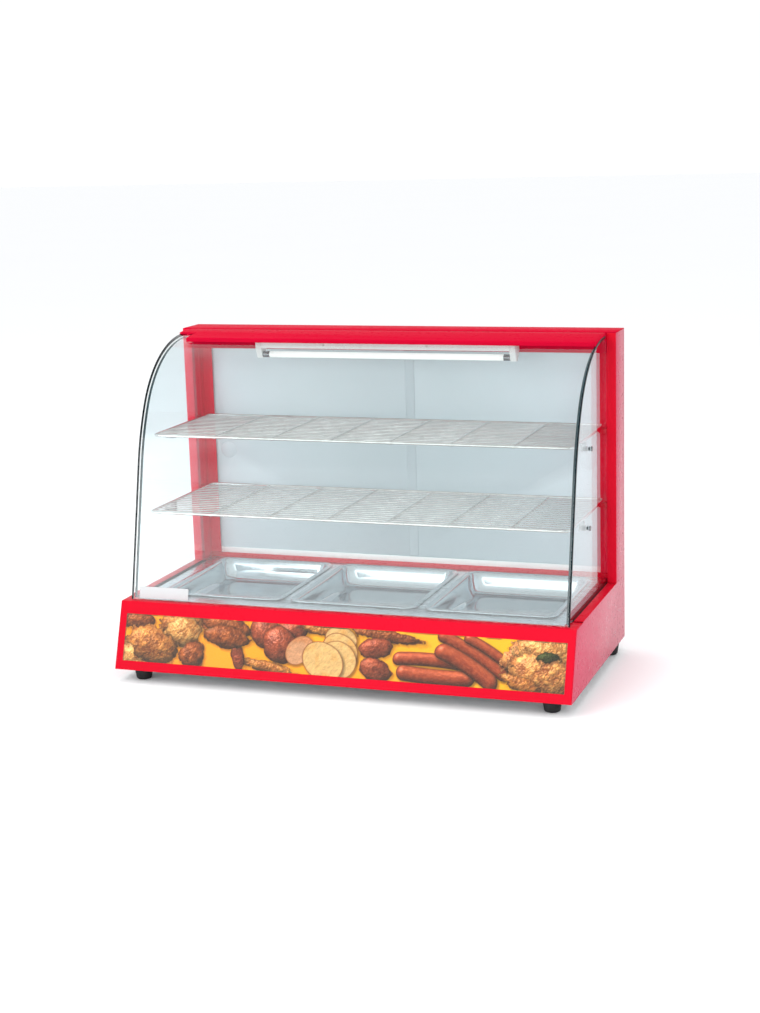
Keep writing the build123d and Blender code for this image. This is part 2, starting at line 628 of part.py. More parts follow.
with BuildPart() as lamp_tube_caps:
    for sx, xa in ((1, TX0 + 1.2), (-1, TX1 - 1.2)):
        # metal cap over the glass end
        with BuildSketch(ZX.offset(xa if sx > 0 else xa - 14.0)):
            with Locations((LAMP_Y, LAMP_Z)):
                Circle(6.3)
        extrude(amount=13.6 if sx > 0 else 14.0)
        # insulator and two pins in the holder
        with BuildSketch(ZX.offset(xa - 3.0 if sx > 0 else xa - 0.4)):
            with Locations((LAMP_Y, LAMP_Z)):
                Circle(4.8)
        extrude(amount=3.4)
    # cut the right cap clear of the tube
    with BuildSketch(ZX.offset(TX1 - 15.4)):
        with Locations((LAMP_Y, LAMP_Z)):
            Circle(9.0)
    extrude(amount=0.6, mode=Mode.SUBTRACT)
save(lamp_tube_caps, "lamp_tube_caps")

with BuildPart() as lamp_screws:
    for x in (-130.0, 85.0):
        with BuildSketch(Plane.XZ.offset(-(HY0 - 0.05))):
            with Locations((x, 612.6)):
                Circle(2.6)
        extrude(amount=1.4)
        with BuildSketch(Plane.XZ.offset(-(HY0 - 0.05) + 1.4)):
            with Locations((x, 612.6)):
                Rectangle(4.0, 0.8)
        extrude(amount=-0.7, mode=Mode.SUBTRACT)
save(lamp_screws, "lamp_screws")

# ============================================================== sliding doors
TRX = POST_XI - 7.0
with BuildPart() as door_track_lower:
    with BuildSketch(ZX.offset(-TRX)):
        with BuildLine():
            Polyline((196.9, 160.2), (212.1, 160.2), (212.1, 172.0), (210.9, 172.0),
                     (210.9, 162.4), (204.9, 162.4), (204.9, 166.0), (203.7, 166.0),
                     (203.7, 162.4), (198.1, 162.4), (198.1, 172.0), (196.9, 172.0), close=True)
        make_face()
    extrude(amount=2 * TRX)
save(door_track_lower, "door_track_lower")

with BuildPart() as door_track_upper:
    with BuildSketch(ZX.offset(-TRX)):
        with BuildLine():
            Polyline((196.9, 609.8), (212.1, 609.8), (212.1, 596.0), (210.9, 596.0),
                     (210.9, 607.6), (204.9, 607.6), (204.9, 598.0), (203.7, 598.0),
                     (203.7, 607.6), (198.1, 607.6), (198.1, 596.0), (196.9, 596.0), close=True)
        make_face()
    extrude(amount=2 * TRX)
save(door_track_upper, "door_track_upper")

PULL_R, PULL_Z = 17.0, 380.0


def sliding_door(x0, x1, y0, px):
    with BuildPart() as p:
        with BuildSketch(Plane.XZ.offset(-(y0 + DOOR_T))):
            with Locations(((x0 + x1) / 2, (DOOR_Z0 + DOOR_Z1) / 2)):
                Rectangle(x1 - x0, DOOR_Z1 - DOOR_Z0)
            with Locations((px, PULL_Z)):
                Circle(PULL_R + 0.1, mode=Mode.SUBTRACT)
        extrude(amount=DOOR_T)
    return p


DLX0, DLX1 = -(TRX - 0.8), DOOR_OVERLAP
DRX0, DRX1 = -DOOR_OVERLAP, TRX - 0.8
sliding_door_left = sliding_door(DLX0, DLX1, DOOR_IN_Y, DLX0 + 42.0)
save(sliding_door_left, "sliding_door_left")
sliding_door_right = sliding_door(DRX0, DRX1, DOOR_OUT_Y, DRX1 - 42.0)
save(sliding_door_right, "sliding_door_right")


def door_pull(px, y0):
    """Flush finger cup pressed into the door from the server's side."""
    with BuildPart() as p:
        # flange on the outer face of the door
        with BuildSketch(Plane.XZ.offset(-(y0 + DOOR_T + 0.1))):
            with Locations((px, PULL_Z)):
                Circle(PULL_R + 3.0)
        extrude(amount=-0.9)
        # cup wall and closed front
        with BuildSketch(Plane.XZ.offset(-(y0 + DOOR_T + 0.1))):
            with Locations((px, PULL_Z)):
                Circle(PULL_R)
        extrude(amount=3.1)
        with BuildSketch(Plane.XZ.offset(-(y0 + DOOR_T + 1.2))):
            with Locations((px, PULL_Z)):
                Circle(PULL_R - 1.0)
        extrude(amount=3.4, mode=Mode.SUBTRACT)
    return p


door_pull_left = door_pull(DLX0 + 42.0, DOOR_IN_Y)
save(door_pull_left, "door_pull_left")
door_pull_right = door_pull(DRX1 - 42.0, DOOR_OUT_Y)
save(door_pull_right, "door_pull_right")

# ============================================================== wire shelves
N_BARS, BAR_PITCH, BAR_MID = 6, 119.0, 10.0


def wire_shelf(z, y0, y1):
    """Chrome wire shelf: rounded rim rod, cross bars below, fine wires on top."""
    x0, x1 = -SHELF_X + ROD_R, SHELF_X - ROD_R
    ya, yb = y0 + ROD_R, y1 - ROD_R
    rc = 14.0
    with BuildPart() as p:
        # rim rod
        k = rc * (1 - math.sqrt(0.5))
        with BuildLine(Plane.XY.offset(z)) as rim:
            Line((0, ya), (x1 - rc, ya))
            ThreePointArc((x1 - rc, ya), (x1 - k, ya + k), (x1, ya + rc))
            Line((x1, ya + rc), (x1, yb - rc))
            ThreePointArc((x1, yb - rc), (x1 - k, yb - k), (x1 - rc, yb))
            Line((x1 - rc, yb), (x0 + rc, yb))
            ThreePointArc((x0 + rc, yb), (x0 + k, yb - k), (x0, yb - rc))
            Line((x0, yb - rc), (x0, ya + rc))
            ThreePointArc((x0, ya + rc), (x0 + k, ya + k), (x0 + rc, ya))
            Line((x0 + rc, ya), (0, ya))
        with BuildSketch(Plane(origin=(0, ya, z), z_dir=(1, 0, 0))):
            Circle(ROD_R)
        sweep(path=rim.wires()[0])
        # cross bars, front to back, a little lower
        bars = [BAR_MID + BAR_PITCH * (i - (N_BARS - 1) / 2) for i in range(N_BARS)]
        with BuildSketch(Plane.XZ.offset(-ya)):
            with Locations(*[(bx, z - 1.9) for bx in bars]):
                Circle(BAR_R)
        extrude(amount=-(yb - ya))
        # fine wires, left to right
        n = int(round((yb - ya) / 17.5))
        with BuildSketch(ZX.offset(x0)):
            with Locations(*[(ya + (yb - ya) * (i + 1) / (n + 1), z + 0.7) for i in range(n)]):
                Circle(WIRE_R)
        extrude(amount=x1 - x0)
    return p


wire_shelf_upper = wire_shelf(*SHELF["upper"])
save(wire_shelf_upper, "wire_shelf_upper")
wire_shelf_lower = wire_shelf(*SHELF["lower"])
save(wire_shelf_lower, "wire_shelf_lower")

# Shelf supports in the side glasses: domed cap outside, pin through the glass,
# flanged boss and an upright saddle inside.
with BuildPart() as shelf_studs:
    for key, (z, y0, y1) in SHELF.items():
        zz, yy = z - 16.0, STUD_Y[key]
        for sx in (-1, 1):
            # pin
            with BuildSketch(ZX.offset(sx * 412.0 if sx > 0 else -(SGX1 + 2.0))):
                with Locations((yy, zz)):
                    Circle(2.5)
            extrude(amount=SGX1 + 2.0 - 412.0)
            # domed cap
            with BuildSketch(ZX.offset(sx * (SGX1 + 0.9) if sx > 0 else -(SGX1 + 3.4))):
                with Locations((yy, zz)):
                    Circle(4.5)
            extrude(amount=2.5)
            # inner boss
            with BuildSketch(ZX.offset(421.5 if sx > 0 else -(SGX0 - 0.9))):
                with Locations((yy, zz)):
                    Circle(5.0)
            extrude(amount=SGX0 - 0.9 - 421.5)
            # upright saddle under the shelf's side rod
            with BuildSketch(ZX.offset(413.0 if sx > 0 else -421.5)):
                with Locations((yy, (zz - 4.0 + z - ROD_R - 0.3) / 2)):
                    Rectangle(9.0, z - ROD_R - 0.3 - (zz - 4.0))
            extrude(amount=8.5)
save(shelf_studs, "shelf_studs")

with BuildPart() as stud_washers:
    for key, (z, y0, y1) in SHELF.items():
        zz, yy = z - 16.0, STUD_Y[key]
        for sx in (-1, 1):
            for xa in (SGX1 + 0.05, SGX0 - 0.85):
                with BuildSketch(ZX.offset(xa if sx > 0 else -(xa + 0.8))):
                    with Locations((yy, zz)):
                        Circle(5.2)
                        Circle(2.6, mode=Mode.SUBTRACT)
                extrude(amount=0.8)
save(stud_washers, "stud_washers")

# Coated brackets on the posts under the back corners of the shelves.
with BuildPart() as shelf_hooks:
    for key, (z, y0, y1) in SHELF.items():
        yh = y1 - 22.0
        for sx in (-1, 1):
            with BuildSketch(Plane.XZ.offset(-(yh + 6.0))):
                with BuildLine():
                    xi = POST_XI - 0.02
                    zt = z - ROD_R - 0.3
                    Polyline((sx * (xi - 0.05), zt + 5.0), (sx * (xi - 1.8), zt + 5.0), (sx * (xi - 1.8), zt),
                             (sx * (SHELF_X - 11.0), zt), (sx * (SHELF_X - 11.0), zt - 4.0),
                             (sx * (SHELF_X - 3.0), zt - 12.0), (sx * (xi - 0.05), zt - 12.0), close=True)
                make_face()
            extrude(amount=12.0)
save(shelf_hooks, "shelf_hooks")

# ======================================================================= feet
with BuildPart() as rubber_feet:
    for fx, fy in FEET:
        with BuildSketch(Plane.XY.offset(0.0)):
            with Locations((fx, fy)):
                Circle(14.5)
        extrude(amount=BZ0 - 0.05, taper=-9.0)
    fillet(rubber_feet.faces().filter_by(lambda f: abs(f.center().Z) < 0.1).edges(), radius=4.0)
    for fx, fy in FEET:
        with BuildSketch(Plane.XY.offset(0.0)):
            with Locations((fx, fy)):
                Circle(6.0)
        extrude(amount=10.0, mode=Mode.SUBTRACT)
        with BuildSketch(Plane.XY.offset(10.0)):
            with Locations((fx, fy)):
                Circle(2.7)
        extrude(amount=20.0, mode=Mode.SUBTRACT)
save(rubber_feet, "rubber_feet")

with BuildPart() as foot_screws:
    for fx, fy in FEET:
        with BuildSketch(Plane.XY.offset(6.2)):
            with Locations((fx, fy)):
                Circle(4.8)
        extrude(amount=3.6)
        with BuildSketch(Plane.XY.offset(6.2)):
            with Locations((fx, fy)):
                Rectangle(6.0, 1.2)
                Rectangle(1.2, 6.0)
        extrude(amount=1.6, mode=Mode.SUBTRACT)
        with BuildSketch(Plane.XY.offset(9.8)):
            with Locations((fx, fy)):
                Circle(2.5)
        extrude(amount=25.0)
        # nut on the inside of the base
        with BuildSketch(Plane.XY.offset(BZ0 + T + 0.1)):
            with Locations((fx, fy)):
                RegularPolygon(4.6, 6)
        extrude(amount=3.5)
save(foot_screws, "foot_screws")

# ============================================================ heater and parts
EL_Z = 84.0
with BuildPart() as heating_element:
    # one long serpentine tube under the pans
    with BuildLine(Plane.XY.offset(EL_Z)):
        el_path = FilletPolyline((395, 95), (-385, 95), (-385, 20), (385, 20), (385, -55), (-395, -55), radius=30.0)
    with BuildSketch(Plane(origin=(395, 95, EL_Z), z_dir=(-1, 0, 0))):
        Circle(4.0)
    sweep(path=el_path)
save(heating_element, "heating_element")

with BuildPart() as element_brackets:
    for x in (-250.0, 0.0, 250.0):
        with BuildSketch(Plane.XY.offset(EL_Z - 4.0 - 1.6)):
            with Locations((x, 20.0)):
                Rectangle(16.0, 190.0)
        extrude(amount=1.4)
        for y in (-72.0, 112.0):
            with BuildSketch(Plane.XY.offset(62.4)):
                with Locations((x, y)):
                    Rectangle(16.0, 1.4)
            extrude(amount=EL_Z - 5.6 - 62.4 + 0.2)
            with BuildSketch(Plane.XY.offset(62.4)):
                with Locations((x, y + (6.0 if y > 0 else -6.0))):
                    Rectangle(16.0, 13.4)
            extrude(amount=1.4)
save(element_brackets, "element_brackets")

# Shallow reflector tray that the brackets stand in.
with BuildPart() as heat_tray:
    with BuildSketch(Plane.XY.offset(61.0)):
        with Locations((0, 12.0)):
            Rectangle(844.0, 326.0)
    extrude(amount=1.2)
    with BuildSketch(Plane.XY.offset(62.2)):
        with Locations((0, 12.0)):
            Rectangle(844.0, 326.0)
            Rectangle(841.6, 323.6, mode=Mode.SUBTRACT)
    extrude(amount=38.0)
    with BuildSketch(Plane.XY.offset(BZ0 + T + 0.1)):
        with Locations((0, 14.0)):
            with GridLocations(700.0, 240.0, 2, 2):
                Rectangle(20.0, 20.0)
                Rectangle(17.6, 17.6, mode=Mode.SUBTRACT)
    extrude(amount=61.0 - (BZ0 + T + 0.1))
save(heat_tray, "heat_tray")

# ================================================================== controls
YPI = YRP - T                           # inner face of the back panel
with BuildPart() as thermostat_body:
    with BuildSketch(Plane.XZ.offset(-(YPI - 0.1))):
        with Locations((KNOB_X, CTRL_Z)):
            RectangleRounded(40.0, 40.0, 4.0)
    extrude(amount=17.0)
    with BuildSketch(Plane.XZ.offset(-(YPI - 0.1))):
        with Locations((KNOB_X, CTRL_Z)):
            Circle(3.0)
    extrude(amount=-10.0)
    # two blade terminals
    with BuildSketch(Plane.XZ.offset(-(YPI - 17.0))):
        with Locations((KNOB_X - 10, CTRL_Z), (KNOB_X + 10, CTRL_Z)):
            Rectangle(0.9, 6.3)
    extrude(amount=9.0)
save(thermostat_body, "thermostat_body")

with BuildPart() as thermostat_knob:
    with BuildSketch(Plane.XZ.offset(-(YRP + 0.6))):
        with Locations((KNOB_X, CTRL_Z)):
            Circle(21.0)
    extrude(amount=-2.2)
    with BuildSketch(Plane.XZ.offset(-(YRP + 2.8))):
        with Locations((KNOB_X, CTRL_Z)):
            Circle(17.0)
    extrude(amount=-3.0, taper=6.0)
    with BuildSketch(Plane.XZ.offset(-(YRP + 5.8))):
        with Locations((KNOB_X, CTRL_Z)):
            RectangleRounded(9.0, 33.0, 4.0)
    extrude(amount=-12.0)
    # bore for the control's shaft
    with BuildSketch(Plane.XZ.offset(-(YRP + 0.6))):
        with Locations((KNOB_X, CTRL_Z)):
            Circle(3.06)
    extrude(amount=-9.5, mode=Mode.SUBTRACT)
    # pointer groove
    with BuildSketch(Plane.XZ.offset(-(YRP + 17.8))):
        with Locations((KNOB_X, CTRL_Z + 10.0)):
            Rectangle(1.4, 10.0)
    extrude(amount=0.8, mode=Mode.SUBTRACT)
save(thermostat_knob, "thermostat_knob")

with BuildPart() as rocker_housings:
    for x in (PR_X, LR_X):
        with BuildSketch(Plane.XZ.offset(-(YRP + 0.05))):
            with Locations((x, CTRL_Z)):
                RectangleRounded(18.0, 24.0, 1.5)
        extrude(amount=-2.0)
        with BuildSketch(Plane.XZ.offset(-(YRP + 0.05))):
            with Locations((x, CTRL_Z)):
                Rectangle(14.0, 20.0)
        extrude(amount=16.0)
        with BuildSketch(Plane.XZ.offset(-(YRP + 2.05))):
            with Locations((x, CTRL_Z)):
                Rectangle(11.6, 17.6)
        extrude(amount=12.0, mode=Mode.SUBTRACT)
        with BuildSketch(Plane.XZ.offset(-(YRP - 15.9))):
            with Locations((x, CTRL_Z - 6), (x, CTRL_Z), (x, CTRL_Z + 6)):
                Rectangle(4.8, 0.8)
        extrude(amount=8.0)
save(rocker_housings, "rocker_housings")

ROCK_Y = YRP - 3.0                      # pivot depth of the rockers


def rocker(x):
    """Two-position rocker; modelled in its off position, lower half pressed."""
    with BuildPart() as p:
        with BuildSketch(ZX.offset(x - 5.5)):
            with BuildLine():
                Polyline((ROCK_Y - 3.0, CTRL_Z - 2.4), (ROCK_Y - 3.0, CTRL_Z + 2.4), (ROCK_Y + 0.2, CTRL_Z + 6.9),
                         (ROCK_Y + 6.4, CTRL_Z + 7.2), (ROCK_Y + 5.2, CTRL_Z), (ROCK_Y + 4.7, CTRL_Z - 7.2),
                         (ROCK_Y - 1.0, CTRL_Z - 6.9), close=True)
            make_face()
        extrude(amount=11.0)
    return p


power_rocker = rocker(PR_X)
save(power_rocker, "power_rocker")
light_rocker = rocker(LR_X)
save(light_rocker, "light_rocker")

with BuildPart() as pilot_lamp:
    with BuildSketch(Plane.XZ.offset(-(YRP + 0.05))):
        with Locations((PILOT_X, CTRL_Z)):
            Circle(7.0)
    extrude(amount=-1.5)
    with BuildSketch(Plane.XZ.offset(-(YRP + 1.55))):
        with Locations((PILOT_X, CTRL_Z)):
            Circle(5.0)
    extrude(amount=-3.5, taper=12.0)
    with BuildSketch(Plane.XZ.offset(-(YRP + 0.05))):
        with Locations((PILOT_X, CTRL_Z)):
            Circle(5.0)
    extrude(amount=22.0)
save(pilot_lamp, "pilot_lamp")

GLAND_Z = 55.0
GLAND_R = 4.0                           # cable passage
with BuildPart() as cable_gland:
    with BuildSketch(Plane.XZ.offset(-(YRP + 0.05))):
        with Locations((GLAND_X, GLAND_Z)):
            RegularPolygon(12.0, 6)
    extrude(amount=-5.0)
    with BuildSketch(Plane.XZ.offset(-(YRP + 5.05))):
        with Locations((GLAND_X, GLAND_Z)):
            Circle(9.5)
    extrude(amount=-11.0, taper=8.0)
    with BuildSketch(Plane.XZ.offset(-(YRP + 0.05))):
        with Locations((GLAND_X, GLAND_Z)):
            Circle(8.0)
    extrude(amount=12.0)
    with BuildSketch(Plane.XZ.offset(-(YPI - 0.15))):
        with Locations((GLAND_X, GLAND_Z)):
            RegularPolygon(12.0, 6)
            Circle(7.9, mode=Mode.SUBTRACT)
    extrude(amount=5.0)
    with BuildSketch(Plane.XZ.offset(-(YRP + 20.0))):
        with Locations((GLAND_X, GLAND_Z)):
            Circle(GLAND_R)
    extrude(amount=40.0, mode=Mode.SUBTRACT)
save(cable_gland, "cable_gland")

with BuildPart() as terminal_block:
    with BuildSketch(Plane.XY.offset(BZ0 + T + 0.1)):
        with Locations((330.0, 190.0 - 6.0)):
            Rectangle(48.0, 18.0)
    extrude(amount=16.0)
    with Locations(*[Location((330.0 + dx, 184.0, BZ0 + T + 16.1)) for dx in (-18, -6, 6, 18)]):
        Hole(radius=3.0, depth=9.0)
save(terminal_block, "terminal_block")

# Ballast for the tube, inside the roof box.
with BuildPart() as lamp_ballast:
    with BuildSketch(Plane.XY.offset(ROOF_Z0 + 1.6)):
        with Locations((-120.0, 172.0)):
            Rectangle(150.0, 28.0)
    extrude(amount=22.0)
    fillet(lamp_ballast.edges().filter_by(Axis.X), radius=2.0)
    with BuildSketch(Plane.XY.offset(ROOF_Z0 + 1.6)):
        with Locations((-120.0 - 82.0, 172.0), (-120.0 + 82.0, 172.0)):
            Rectangle(16.0, 28.0)
    extrude(amount=1.4)
save(lamp_ballast, "lamp_ballast")

# Pan-head screws that hold the back panel and the roof.
with BuildPart() as body_screws:
    with BuildSketch(Plane.XZ.offset(-(YRP + 0.05))):
        with Locations(*[(x, z) for x in (-415, -140, 140, 424) for z in (36.0, 134.0)]):
            Circle(3.6)
    extrude(amount=-2.0)
    with BuildSketch(Plane.XZ.offset(-(YRP + 2.05))):
        with Locations(*[(x, z) for x in (-415, -140, 140, 424) for z in (36.0, 134.0)]):
            Rectangle(4.4, 0.9)
            Rectangle(0.9, 4.4)
    extrude(amount=1.0, mode=Mode.SUBTRACT)
save(body_screws, "body_screws")
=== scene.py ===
import json
import math

import bmesh
import bpy
import numpy as np
from mathutils import Matrix, Vector


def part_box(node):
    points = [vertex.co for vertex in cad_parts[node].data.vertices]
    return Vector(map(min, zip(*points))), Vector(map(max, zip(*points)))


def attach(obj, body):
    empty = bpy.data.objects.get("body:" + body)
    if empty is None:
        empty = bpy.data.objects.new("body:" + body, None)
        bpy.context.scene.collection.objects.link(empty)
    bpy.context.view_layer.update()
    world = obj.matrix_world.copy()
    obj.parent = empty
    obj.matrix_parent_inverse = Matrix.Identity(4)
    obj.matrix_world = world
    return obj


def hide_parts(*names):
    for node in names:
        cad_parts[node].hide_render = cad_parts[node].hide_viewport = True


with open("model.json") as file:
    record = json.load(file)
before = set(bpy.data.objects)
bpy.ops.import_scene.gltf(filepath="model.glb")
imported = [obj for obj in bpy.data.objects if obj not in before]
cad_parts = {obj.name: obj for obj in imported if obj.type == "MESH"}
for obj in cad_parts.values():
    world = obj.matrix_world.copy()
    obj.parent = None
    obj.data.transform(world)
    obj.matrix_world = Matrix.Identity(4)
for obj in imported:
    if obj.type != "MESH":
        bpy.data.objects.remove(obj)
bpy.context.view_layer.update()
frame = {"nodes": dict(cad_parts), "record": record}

NODES = frame["nodes"]
BODY = {n: b for b, ns in frame["record"]["behaviour"]["bodies"].items() for n in ns}
SC = bpy.context.scene
SC.view_settings.view_transform = "Standard"

# ============================================================ camera and studio
cam_data = bpy.data.cameras.new("camera")
cam_data.sensor_width = 36.0
cam_data.lens = 63.86
cam_data.clip_start, cam_data.clip_end = 0.05, 60.0
camera = bpy.data.objects.new("camera", cam_data)
SC.collection.objects.link(camera)
yaw, pitch, roll = math.radians(19.82), math.radians(11.97), math.radians(-1.75)
fwd = Vector((-math.sin(yaw) * math.cos(pitch), math.cos(yaw) * math.cos(pitch), -math.sin(pitch)))
rgt = Vector((math.cos(yaw), math.sin(yaw), 0.0))
dwn = fwd.cross(rgt)
r2 = rgt * math.cos(roll) - dwn * math.sin(roll)
d2 = rgt * math.sin(roll) + dwn * math.cos(roll)
camera.matrix_world = Matrix((
    (r2.x, -d2.x, -fwd.x, 1.167),
    (r2.y, -d2.y, -fwd.y, -3.178),
    (r2.z, -d2.z, -fwd.z, 1.034),
    (0, 0, 0, 1)))
SC.camera = camera


def area(name, loc, target, size, power, colour=(1, 1, 1), glossy=True):
    d = bpy.data.lights.new(name, "AREA")
    d.shape = "RECTANGLE"
    d.size, d.size_y = size
    d.energy = power
    d.color = colour
    o = bpy.data.objects.new(name, d)
    o.location = loc
    o.rotation_mode = "QUATERNION"
    o.rotation_quaternion = (Vector(target) - Vector(loc)).to_track_quat("-Z", "Y")
    o.visible_glossy = glossy
    o.visible_camera = False
    SC.collection.objects.link(o)
    return o


area("key", (-1.6, -2.6, 3.0), (0, 0, 0.3), (2.4, 2.4), 48, (1.0, 0.99, 0.97), glossy=False)
area("fill", (2.8, -1.8, 1.6), (0, 0, 0.3), (2.0, 2.0), 15, (0.97, 0.99, 1.0), glossy=False)
area("overhead", (0.0, 0.4, 3.2), (0, 0, 0.2), (3.0, 2.4), 26, (1.0, 1.0, 1.0), glossy=False)

world = bpy.data.worlds.new("studio")
SC.world = world
world.use_nodes = True
world.node_tree.nodes["Background"].inputs["Color"].default_value = (0.97, 0.985, 1.0, 1)


def studio():
    """White room with a slightly dimmer strip of ceiling in front of the case, and white panels low at the front.

    The strip is what the upper half of the bent glass mirrors, the panels lie in the lower glass and the pans."""
    t = world.node_tree

    def node(op, a=None, b=None):
        n = t.nodes.new("ShaderNodeMath")
        n.operation = op
        for i, v in enumerate((a, b)):
            if isinstance(v, bpy.types.NodeSocket):
                t.links.new(v, n.inputs[i])
            elif v is not None:
                n.inputs[i].default_value = v
        return n.outputs[0]

    def rise(v, lo, hi):
        n = t.nodes.new("ShaderNodeMapRange")
        n.interpolation_type = "SMOOTHSTEP"
        t.links.new(v, n.inputs["Value"])
        n.inputs["From Min"].default_value, n.inputs["From Max"].default_value = lo, hi
        return n.outputs["Result"]

    def bell(v, mid, width):
        q = node("DIVIDE", node("SUBTRACT", v, mid), width)
        return node("POWER", math.e, node("MULTIPLY", node("MULTIPLY", q, q), -0.5))

    def less(v):
        return node("SUBTRACT", 1.0, v)
    tc = t.nodes.new("ShaderNodeTexCoord")
    sep = t.nodes.new("ShaderNodeSeparateXYZ")
    t.links.new(tc.outputs["Generated"], sep.inputs[0])
    x, y, z = (sep.outputs[k] for k in "XYZ")
    deg = 180.0 / math.pi
    over = node("MULTIPLY", node("ARCTAN2", z, node("MULTIPLY", y, -1.0)), deg)      # 0 front, 90 straight up
    side = node("MULTIPLY", node("ARCTAN2", node("MULTIPLY", x, -1.0), node("MULTIPLY", y, -1.0)), deg)
    strip = node("MULTIPLY", node("MULTIPLY", rise(over, 14.0, 30.0), less(rise(over, 108.6, 109.6))),
                 less(rise(node("ABSOLUTE", x), 0.52, 0.66)))
    total = node("SUBTRACT", 1.05, node("MULTIPLY", strip, 0.15))
    total = node("ADD", total, node("MULTIPLY", node("MULTIPLY", bell(over, 5.5, 4.8), bell(side, 24.0, 16.0)), 3.8))
    left = node("MULTIPLY", rise(side, 25.2, 28.2), less(rise(side, 34.0, 46.0)))
    tall = node("MULTIPLY", node("MULTIPLY", rise(over, 13.0, 17.0), less(rise(over, 24.0, 31.0))), 1.9)
    total = node("ADD", total, node("MULTIPLY", left, node("ADD", node("MULTIPLY", bell(over, 9.0, 4.5), 2.6), tall)))
    t.links.new(total, t.nodes["Background"].inputs["Strength"])


studio()


# ============================================================== node materials
class Net:
    """A node material under construction."""

    def __init__(self, name):
        self.m = bpy.data.materials.new(name)
        self.m.use_nodes = True
        self.t = self.m.node_tree
        self.t.nodes.clear()
        self.out = self.add("OutputMaterial")

    def add(self, kind, **inputs):
        n = self.t.nodes.new("ShaderNode" + kind)
        for k, v in inputs.items():
            k = k.replace("_", " ")
            self.put(n, k, v)
        return n

    def put(self, n, key, v):
        sock = n.inputs[key]
        if isinstance(v, bpy.types.NodeSocket):
            self.t.links.new(v, sock)
        else:
            if isinstance(v, (tuple, list)) and len(v) == 3 and sock.type == "RGBA":
                v = (*v, 1.0)
            sock.default_value = v

    def surface(self, sock):
        self.t.links.new(sock, self.out.inputs["Surface"])
        return self.m

    def coords(self, scale=(1, 1, 1)):
        c = self.add("TexCoord")
        mp = self.add("Mapping")
        self.put(mp, "Vector", c.outputs["Object"])
        mp.inputs["Scale"].default_value = scale
        return mp.outputs["Vector"]

    def noise(self, scale, detail=3.0, rough=0.55, stretch=(1, 1, 1), distortion=0.0):
        n = self.add("TexNoise", Scale=scale, Detail=detail, Roughness=rough, Distortion=distortion)
        self.put(n, "Vector", self.coords(stretch))
        return n.outputs["Fac"]

    def ramp(self, fac, stops):
        r = self.add("ValToRGB")
        e = r.color_ramp.elements
        while len(e) > 1:
            e.remove(e[-1])
        for i, (p, c) in enumerate(stops):
            s = e[0] if i == 0 else e.new(p)
            s.position = p
            s.color = (*c, 1.0) if len(c) == 3 else c
        self.put(r, "Fac", fac)
        return r.outputs["Color"]

    def span(self, fac, lo, hi, f0=0.0, f1=1.0):
        r = self.add("MapRange")
        self.put(r, "Value", fac)
        r.inputs["From Min"].default_value, r.inputs["From Max"].default_value = f0, f1
        r.inputs["To Min"].default_value, r.inputs["To Max"].default_value = lo, hi
        return r.outputs["Result"]

    def maths(self, op, a, b=0.0, clamp=False):
        n = self.add("Math")
        n.operation = op
        n.use_clamp = clamp
        self.put(n, 0, a)
        self.put(n, 1, b)
        return n.outputs[0]

    def bump(self, height, dist, strength=1.0, normal=None):
        b = self.add("Bump", Height=height, Distance=dist, Strength=strength)
        if normal is not None:
            self.put(b, "Normal", normal)
        return b.outputs["Normal"]

    def mix(self, a, b, fac):
        n = self.add("Mix")
        n.data_type = "RGBA"
        self.t.links.new(a, n.inputs[6]) if isinstance(a, bpy.types.NodeSocket) else setattr(n.inputs[6], "default_value", (*a, 1))
        self.t.links.new(b, n.inputs[7]) if isinstance(b, bpy.types.NodeSocket) else setattr(n.inputs[7], "default_value", (*b, 1))
        self.put(n, 0, fac)
        return n.outputs[2]


def powder_coat(name, dark, light, specular, rough=(0.24, 0.36), outer=None):
    """Glossy powder coat: faint orange peel, slow tone drift, fine dust in the gloss.

    outer = (dark, light, specular) for the case's outer side faces, which the eye meets almost edge-on; their bluer
    colours are painted sheen, standing in for the pale reflection those faces show."""
    n = Net(name)
    drift = n.span(n.noise(3.0, 2.0), 0, 1, 0.3, 0.7)
    col = n.ramp(drift, [(0.0, dark), (1.0, light)])
    peel = n.noise(420.0, 2.0, 0.45)
    dust = n.noise(60.0, 5.0, 0.7)
    rgh = n.span(dust, rough[0], rough[1], 0.3, 0.75)
    spec = specular
    if outer:
        tc = n.add("TexCoord")
        nn, at = n.add("SeparateXYZ"), n.add("SeparateXYZ")
        n.put(nn, "Vector", tc.outputs["Normal"])
        n.put(at, "Vector", tc.outputs["Object"])
        # painted sheen: the outer side faces get their own bluer colours and a stronger specular
        side_sheen_mask = n.maths("MULTIPLY", n.maths("GREATER_THAN", n.maths("ABSOLUTE", nn.outputs["X"]), 0.7),
                       n.maths("GREATER_THAN", n.maths("ABSOLUTE", at.outputs["X"]), 0.447))
        col = n.mix(col, n.ramp(drift, [(0.0, outer[0]), (1.0, outer[1])]), side_sheen_mask)
        spec = n.span(side_sheen_mask, specular, outer[2])
    b = n.add("BsdfPrincipled")
    n.put(b, "Base Color", col)
    n.put(b, "Roughness", rgh)
    n.put(b, "Specular IOR Level", spec)
    n.put(b, "Normal", n.bump(peel, 0.00006, 0.35))
    return n.surface(b.outputs[0])


